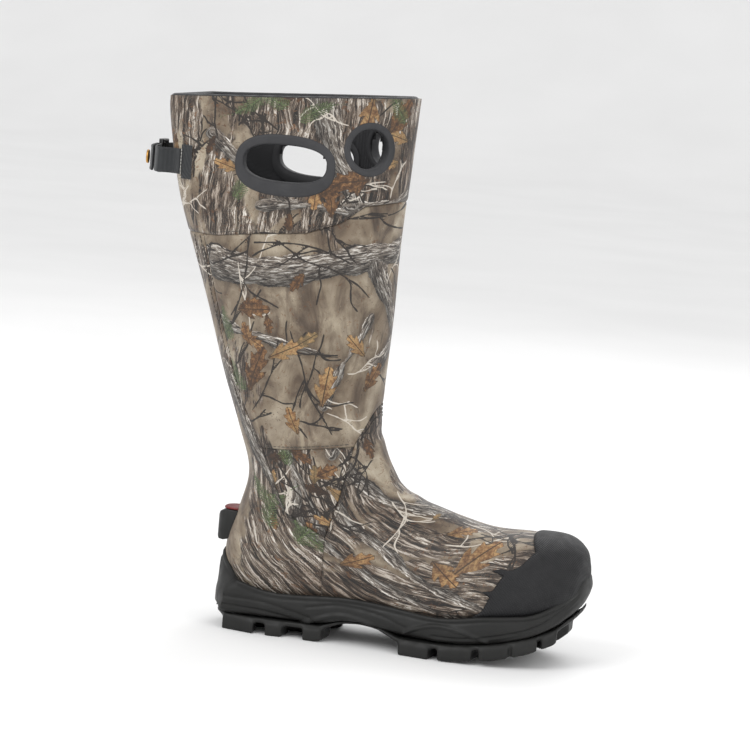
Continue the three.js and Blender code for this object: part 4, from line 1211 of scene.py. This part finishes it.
def make_lining():
    """The knitted lining: rolled over the collar's edge, then down inside to the heel."""
    phi = (np.arange(LINING_COLUMNS) + 0.5) / LINING_COLUMNS * 2 * math.pi - math.pi
    start = rim_times(phi)
    edge = skin(start, phi)
    out = skin_normal(start, phi)
    up = np.array([0, 0, 1.0])
    rows = [edge - out * depth + up * rise for depth, rise in LINING_ROLL]
    for down in np.linspace(0.012, 1, LINING_ROWS):
        t = start + down * (LINING_LAST - start)
        rows.append(skin(t, phi) - skin_normal(t, phi) * lining_depth)
    points = np.array(rows)
    hidden = opening_distance(points, 7) < 0
    kept = ~(hidden[:-1] | np.roll(hidden[1:], -1, axis=1))
    kept[: len(LINING_ROLL)] = True
    faces = grid_faces(*points.shape[:2], turned=True)[kept.ravel()]
    made = mesh_object("lining_knit", points.reshape(-1, 3), faces.tolist())
    give_rim(made, 0.4)
    put(made, "boot", "lining", looks["lining"], "lining")


def make_ring(name, node, spec, side):
    """A moulded ring round an opening: a soft band on the skin that turns in through the wall."""
    _, x, z, outer, inner, rise = spec
    place, right, up, out = opening_seat(x, z, side)
    profile = [(0.92, -9.6), (0.5, -10.2), (0.08, -9.6), (0.0, -8.4), (0.0, -5.0), (0.0, -1.6), (0.04, 0.0),
               (0.12, 0.75), (0.28, 1.15), (0.5, 1.4), (0.72, 1.55), (0.88, 1.4), (0.96, 0.9), (1.0, 0.1),
               (1.0, -1.6)]
    around = 120
    a = np.linspace(0, 2 * math.pi, around, endpoint=False)

    def edge(size, shift):
        half_x, half_z, shape = size
        r = (np.abs(np.cos(a)) ** shape + np.abs(np.sin(a)) ** shape) ** (-1 / shape)
        return np.stack([half_x * r * np.cos(a), half_z * r * np.sin(a) + shift], axis=-1)

    hole, border = edge(inner, rise), edge(outer, 0)
    points = []
    for share, height in profile:
        flat = hole + (border - hole) * share
        for b, c in flat:
            start = place + right * b + up * c + out * 60
            spot, normal, _, _ = SKIN_TREE.ray_cast(Vector(start), Vector(-out))
            normal = Vector(normal)
            if normal.dot(Vector(out)) < 0:
                normal = -normal
            direction = Vector(out) if share < 0.05 else normal
            points.append(spot + direction * height)
    made = mesh_object(name, points, grid_faces(len(profile), around).tolist())
    put(made, "boot", "ring_rubber", looks["ring_rubber"], node)


make_lining()
for spec in OPENINGS:
    for side, suffix in ((-1, "outer"), (1, "inner")):
        make_ring(f"{spec[0]}_band_{suffix}", f"{spec[0]}_ring_{suffix}", spec, side)

# ---------------------------------------------------------------- rubber cup

# Raised and sunk lines of the cup's wall: points in the side view, height, half width.
CUP_LINES = [
    ([(-26, 28), (4.5, 27), (35, 21.5), (50, 17)], -1.4, 1.1),
    ([(-28, 21), (5, 19.5), (30, 16)], -1.4, 1.1),
    ([(39, 12.5), (55.7, 19.5), (71.8, 24.1), (92.7, 21.6), (116, 13)], 1.9, 1.7),
    ([(44, 27), (72, 32), (104, 29), (126, 22)], -1.1, 0.9),
    ([(126, 18), (136, 23), (153.5, 28), (174.8, 26), (194, 20)], 1.7, 1.4),
    ([(150, 19), (176, 20), (206, 26), (232, 35), (252, 50), (262, 62)], -1.3, 1.0),
    ([(168, 14), (196, 18), (222, 26), (244, 38), (262, 54)], 1.0, 1.6),
    ([(-41, 52), (-41, 14)], 1.6, 3.0),
]
RELIEF_END = toe_tip - 4  # the relief dies out here, where its lines would close on themselves
RELIEF_FADE = 8
HEEL_SOFTNESS = 1.6  # the wall stands upright behind the heel, eased over this length
HEEL_ROUNDING = 12.5  # how far the heel's plan line has come forward at its full width
CUP_FIRST = 6.2  # the first section that the cup needs, above its top edge
CUP_STEP = 1.25
CUP_COLUMNS = 420


def cup_distance(x, y, z):
    """How far a point of the cup's loft is inside its wall: under its top edge and over the sole."""
    under = above(x, z, sole_line(tread_top + 0.3, arch_rise - arch_thin))
    return np.minimum(-above(x, z, CUP_TOP), under)


def cup_shape(x, z, d):
    """A bead along the top, and the wall's raised and sunk lines."""
    to_top, _, _ = line_distance(x, z, CUP_TOP)
    lift = 0.7 * np.exp(-(((to_top - 1.6) / 1.3) ** 2)) - 0.8 * np.exp(-(((to_top - 4.2) / 0.8) ** 2))
    for points, height, half in CUP_LINES:
        gap, _, _ = line_distance(x, z, curve(points, 14))
        lift += height * np.exp(-((gap / half) ** 4))
    lift *= np.clip((RELIEF_END - x) / RELIEF_FADE, 0, 1)
    settle = np.clip(1 - to_top / 11, 0, 1) * (2.1 + 0.7 * np.clip((x - 215) / 30, 0, 1))
    return lift - settle - 1.0 * np.exp(-np.maximum(d, 0) / 0.7)


def make_cup():
    """The moulded cup, with its heel rounded in plan."""
    t, phi = base_grid(CUP_FIRST, LAST, CUP_STEP, CUP_COLUMNS)
    t, phi, d, faces = trimmed(t, phi, cup_distance, CUP)
    flat = skin(t, phi, CUP)
    height = cup_shape(flat[..., 0], flat[..., 2], d)
    points = flat + skin_normal(t, phi, CUP) * height[..., None]
    heel_line = heel_back + HEEL_ROUNDING * (2 * np.abs(points[..., 1]) / heel_width) ** 2.6
    behind = (points[..., 0] - heel_line) / HEEL_SOFTNESS
    points[..., 0] = heel_line + HEEL_SOFTNESS * np.logaddexp(0, behind)
    faces, (points,) = used_only(faces, points)
    made = mesh_object("foot_cup_rubber", points, faces)
    give_rim(made, 2.6)
    put(made, "boot", "sole_rubber", looks["sole_rubber"], "foot_cup")


make_cup()

# ---------------------------------------------------------------- hard pieces, with eased edges

def eased(name, node, slot, body="boot", edge=0.6, parts=2):
    """A copy of a CAD node with its flat faces merged and its edges rounded."""
    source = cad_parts[node]
    shape = bmesh.new()
    shape.from_mesh(source.data)
    bmesh.ops.remove_doubles(shape, verts=shape.verts, dist=1e-5)
    bmesh.ops.dissolve_limit(shape, angle_limit=math.radians(3), verts=shape.verts, edges=shape.edges)
    mesh = bpy.data.meshes.new(name)
    shape.to_mesh(mesh)
    shape.free()
    mesh.polygons.foreach_set("use_smooth", [True] * len(mesh.polygons))
    made = bpy.data.objects.new(name, mesh)
    bpy.context.scene.collection.objects.link(made)
    bevel = made.modifiers.new("eased", "BEVEL")
    bevel.width = edge * MM
    bevel.segments = parts
    bevel.limit_method = "ANGLE"
    bevel.angle_limit = math.radians(35)
    bevel.harden_normals = True
    return put(made, body, slot, looks[slot], node)


def moulded(name, node, slot, grain=1.3, passes=11):
    """A copy of a CAD node with every edge rounded, as rubber comes from a mould."""
    made = bpy.data.objects.new(name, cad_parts[node].data.copy())
    bpy.context.scene.collection.objects.link(made)
    remesh = made.modifiers.new("moulded", "REMESH")
    remesh.mode = "VOXEL"
    remesh.voxel_size = grain * MM
    remesh.use_smooth_shade = True
    smooth = made.modifiers.new("softened", "SMOOTH")
    smooth.factor = 0.5
    smooth.iterations = passes
    return put(made, "boot", slot, looks[slot], node)


moulded("lugged_sole", "outsole", "sole_rubber")
eased("heel_kick_tab", "kick_tab", "sole_rubber", edge=1.0, parts=3)
eased("kick_strip", "kick_accent", "accent", edge=0.4)
eased("buckle_body", "buckle_frame", "hard_plastic", edge=0.9, parts=3)
eased("buckle_flap", "buckle_lever", "hard_plastic", body="lever", edge=0.5)
for side in ("outer", "inner"):
    eased(f"strap_holder_{side}", f"strap_tab_{side}", "webbing", edge=0.8, parts=3)

# ---------------------------------------------------------------- straps

corner_x = mixed(collar_back, ankle_back, 0.07)
corner_y = collar_width / 2
tab_from = corner_x + 12
strap_low = strap_middle - webbing_width / 2
strap_high = strap_middle + webbing_width / 2
strap_back = collar_back - 15
buckle_half = 8
frame_thick = 4
frame_gap = 0.3


def beside_skin(x, standing):
    """The plan point over the skin at x, this far outside it."""
    t, phi = locate([x], [strap_high])
    place, out = skin(t, phi)[0], skin_normal(t, phi)[0]
    return (place[0], place[1] + standing / math.hypot(out[0], out[1]))


STRAP = [
    beside_skin(tab_from - 0.9, 1.8),
    beside_skin(corner_x + 4, 3.5),
    (corner_x - 7.7, corner_y - 6),
    (corner_x - 15, corner_y - 22),
    (strap_back + 3, corner_y - 40),
    (strap_back, buckle_half + frame_gap),
]
tail_x = strap_back - frame_thick / 2 - frame_gap - webbing_thick / 2
TAIL = [
    (tail_x, -5.3),
    (tail_x, -buckle_half - 1),
    (tail_x + 1.5, -corner_y + 40),
    (corner_x - 19.5, -corner_y + 25),
    (corner_x - 15, -corner_y + 15),
]


# Half of the webbing's outline: share of its half height, and share of its half thickness
BORDER = [(0.78, 0.78), (0.82, 1.0), (0.9, 1.0), (0.97, 0.8), (1.0, 0.35)]
WEBBING_SIDE = [*((-a, b) for a, b in reversed(BORDER)), (-0.4, 0.8), (0.0, 0.82), (0.4, 0.8), *BORDER]


def ribbon(name, route):
    """Flat webbing on edge along a route in plan, with rounded edges and a raised border."""
    line = curve(route, 70)
    ahead = np.gradient(line, axis=0)
    ahead /= np.linalg.norm(ahead, axis=1, keepdims=True)
    out = np.stack([-ahead[:, 1], ahead[:, 0]], axis=-1)
    half, tall = webbing_thick / 2, webbing_width / 2
    profile = [
        (side * depth * half, side * share * tall + strap_middle)
        for side in (1, -1)
        for share, depth in WEBBING_SIDE
    ]
    points = [(p[0] + o[0] * d, p[1] + o[1] * d, z) for p, o in zip(line, out) for d, z in profile]
    count = len(profile)
    faces = grid_faces(len(line), count, turned=True).tolist()
    faces.append(list(range(count)))
    faces.append(list(reversed(range(len(points) - count, len(points)))))
    made = mesh_object(name, points, faces)
    facing_out(made)
    return made


for name, route, body, node in (
    ("strap_webbing_outer", [(x, -y) for x, y in STRAP], "boot", "adjuster_strap"),
    ("strap_webbing_inner", STRAP, "boot", "buckle_strap"),
    ("strap_webbing_tail", TAIL, "tail", "strap_tail"),
):
    put(ribbon(name, route), body, "webbing", looks["webbing"], node)


# The cap's profile: radius, and height over its seat
SNAP_PROFILE = [(0, 1.7), (2.0, 1.6), (2.9, 1.35), (3.2, 1.1), (3.5, 1.35), (4.4, 2.0), (5.1, 2.1),
                (5.5, 1.5), (5.5, 0.7), (5.1, 0.1), (3.0, 0.0), (0, 0.0)]
SNAP_SEAT = webbing_thick / 2 + 0.9  # from the middle of the webbing


def make_snap():
    """The press stud's cap: a domed disc with a rolled edge and a sunk ring."""
    start, end = np.array(TAIL[2]), np.array(TAIL[3])
    ahead = end - start
    spot = start + ahead * 0.85
    away = np.array([ahead[1], -ahead[0]]) / np.linalg.norm(ahead)
    around = 48
    out = np.array([away[0], away[1], 0])
    up = np.array([0, 0, 1.0])
    across = np.cross(up, out)
    centre = np.array([spot[0], spot[1], strap_middle])
    points = []
    for radius, height in SNAP_PROFILE:
        for k in range(around):
            a = 2 * math.pi * k / around
            ray = across * math.cos(a) + up * math.sin(a)
            points.append(centre + out * (SNAP_SEAT + height) + radius * ray)
    made = mesh_object("press_stud_cap", points, grid_faces(len(SNAP_PROFILE), around).tolist())
    facing_out(made, merge=1e-6)
    put(made, "tail", "brass", looks["brass"], "snap_cap")


make_snap()

# ---------------------------------------------------------------- stitching

# A stitch along its length: share of the way, and share of its thickness
STITCH = [(-0.12, 0.35), (0.08, 1.0), (0.5, 1.15), (0.92, 1.0), (1.12, 0.35)]
STITCH_SIDES = 6


def stitches(name, line, look, slot, lift, pitch=3.6, long=2.5, thick=0.32):
    """A row of stitches on the skin, along a line in the side view, on both sides of the boot."""
    fine = curve(line, 400)
    way = np.concatenate([[0], np.cumsum(np.linalg.norm(np.diff(fine, axis=0), axis=1))])
    starts = np.arange(pitch, way[-1] - pitch, pitch)
    ends = starts + long
    corners = [locate(np.interp(s, way, fine[:, 0]), np.interp(s, way, fine[:, 1])) for s in (starts, ends)]
    tube = grid_faces(len(STITCH), STITCH_SIDES, turned=True).tolist()
    tube.append(list(reversed(range(STITCH_SIDES))))
    tube.append([STITCH_SIDES * (len(STITCH) - 1) + k for k in range(STITCH_SIDES)])
    points, faces = [], []
    for side in (-1, 1):
        a, b = (skin(t, phi * side) + skin_normal(t, phi * side) * lift for t, phi in corners)
        up = skin_normal(corners[0][0], corners[0][1] * side)
        for p, q, n in zip(a, b, up):
            ahead = (q - p) / max(np.linalg.norm(q - p), 1e-6)
            across = np.cross(ahead, n)
            first = len(points)
            for share, size in STITCH:
                middle = p + (q - p) * share
                for k in range(STITCH_SIDES):
                    turn = 2 * math.pi / STITCH_SIDES * k
                    points.append(middle + thick * size * (across * math.cos(turn) + n * math.sin(turn)))
            faces.extend([first + k for k in face] for face in tube)
    put(mesh_object(name, points, faces), "boot", slot, look)


def shifted(line, dx, dz):
    return [(x + dx, z + dz) for x, z in line]


collar_run = [(-60, gusset_foot - 1), *COLLAR_SEAM[1:7]]
for name, line, lift in (
    ("collar_stitching", shifted(collar_run, 0, 2.6), 0.25),
    ("ankle_stitching", shifted(QUARTER_TOP, 0, 2.4), 0.1),
    ("backstay_stitching", shifted(BACKSTAY, -2.6, -0.6), 0.4),
    ("vamp_stitching", shifted(VAMP, 2.6, 0), 0.4),
    ("backstay_second_stitching", [(-74, gusset_foot + 1), (-71.5, 289)], 0.4),
):
    stitches(name, line, looks["thread"], "camo", lift)
stitches("holder_stitching", [(tab_from + 1.6, strap_low - 2), (tab_from + 1.6, strap_high + 2)],
         looks["pale_thread"], "webbing", 3.5, pitch=2.6, long=1.8, thick=0.3)

# ---------------------------------------------------------------- CAD nodes that stay as they are

for node, slot in (("buckle_pin", "steel"), ("shank", "steel"), ("midsole", "midsole_foam"),
                   ("insulation_bootie", "foam"), ("insole_board", "board"), ("heel_counter", "stiffener"),
                   ("toe_puff", "stiffener")):
    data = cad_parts[node].data
    data.materials.clear()
    data.materials.append(looks[slot])


def make_footbed():
    """The loose footbed, softened from its CAD solid."""
    made = eased("soft_footbed", "footbed", "footbed", edge=1.5, parts=3)


make_footbed()


# ---------------------------------------------------------------- floor, light and camera

def area_light(name, place, aim, size, power):
    data = bpy.data.lights.new(name, "AREA")
    data.shape = "DISK"
    data.size = size
    data.energy = power
    made = bpy.data.objects.new(name, data)
    made.location = place
    made.rotation_euler = (Vector(aim) - Vector(place)).to_track_quat("-Z", "Y").to_euler()
    bpy.context.scene.collection.objects.link(made)


def studio():
    """A pale floor that curves up behind the object, and soft light from above, the front and the side."""
    run, rise, bend, half = 6.0, 7.0, 2.0, 12.0
    profile = [(-8.0, 0.0), (run, 0.0)]
    for k in range(1, 13):
        a = math.pi / 2 * k / 12
        profile.append((run + bend * math.sin(a), bend - bend * math.cos(a)))
    profile.append((run + bend, rise))
    points = [(x, y, z) for x in (-half, half) for y, z in profile]
    count = len(profile)
    faces = [(k, k + 1, count + k + 1, count + k) for k in range(count - 1)]
    floor = mesh_object("studio_floor", np.array(points) / MM, faces)
    look = Look("pale_floor", (0.86, 0.86, 0.86), 0.9)
    tone = look.noise(look.place(), 3, 2)
    look.colour(look.ramp(tone, [(0.3, (0.85, 0.85, 0.85)), (0.7, (0.88, 0.88, 0.88))]))
    floor.data.materials.append(look.material)
    world = bpy.data.worlds.new("studio_world")
    world.use_nodes = True
    world.node_tree.nodes["Background"].inputs["Color"].default_value = (1, 1, 1, 1)
    world.node_tree.nodes["Background"].inputs["Strength"].default_value = 0.95
    bpy.context.scene.world = world
    middle = (0.07, 0, 0.2)
    area_light("key_light", (-0.9, -1.7, 1.7), middle, 1.4, 22)
    area_light("fill_light", (1.8, -1.2, 0.9), middle, 1.6, 9)
    area_light("rim_light", (0.4, 1.6, 1.5), middle, 1.2, 14)
    bpy.context.scene.view_settings.view_transform = "Standard"


def add_camera():
    """The photograph's view: the outer side, a little from the toe and from above, turned in its plane."""
    turn, rise, roll = (math.radians(a) for a in (13, 7, 5))
    away = 2.6
    seen_width = 0.60225  # of the view, at the boot
    target = Vector((0.0745, 0, 0.2145))
    ahead = Vector((-math.sin(turn) * math.cos(rise), math.cos(turn) * math.cos(rise), -math.sin(rise)))
    right = Vector((math.cos(turn), math.sin(turn), 0))
    up = right.cross(ahead)
    level = math.cos(roll) * right + math.sin(roll) * up
    upright = -math.sin(roll) * right + math.cos(roll) * up
    data = bpy.data.cameras.new("camera")
    data.sensor_width = 36
    data.lens = data.sensor_width * away / seen_width
    data.clip_end = 50
    made = bpy.data.objects.new("camera", data)
    made.matrix_world = Matrix((
        (level.x, upright.x, -ahead.x, 0),
        (level.y, upright.y, -ahead.y, 0),
        (level.z, upright.z, -ahead.z, 0),
        (0, 0, 0, 1),
    ))
    made.location = target - ahead * away
    bpy.context.scene.collection.objects.link(made)
    bpy.context.scene.camera = made


studio()
add_camera()
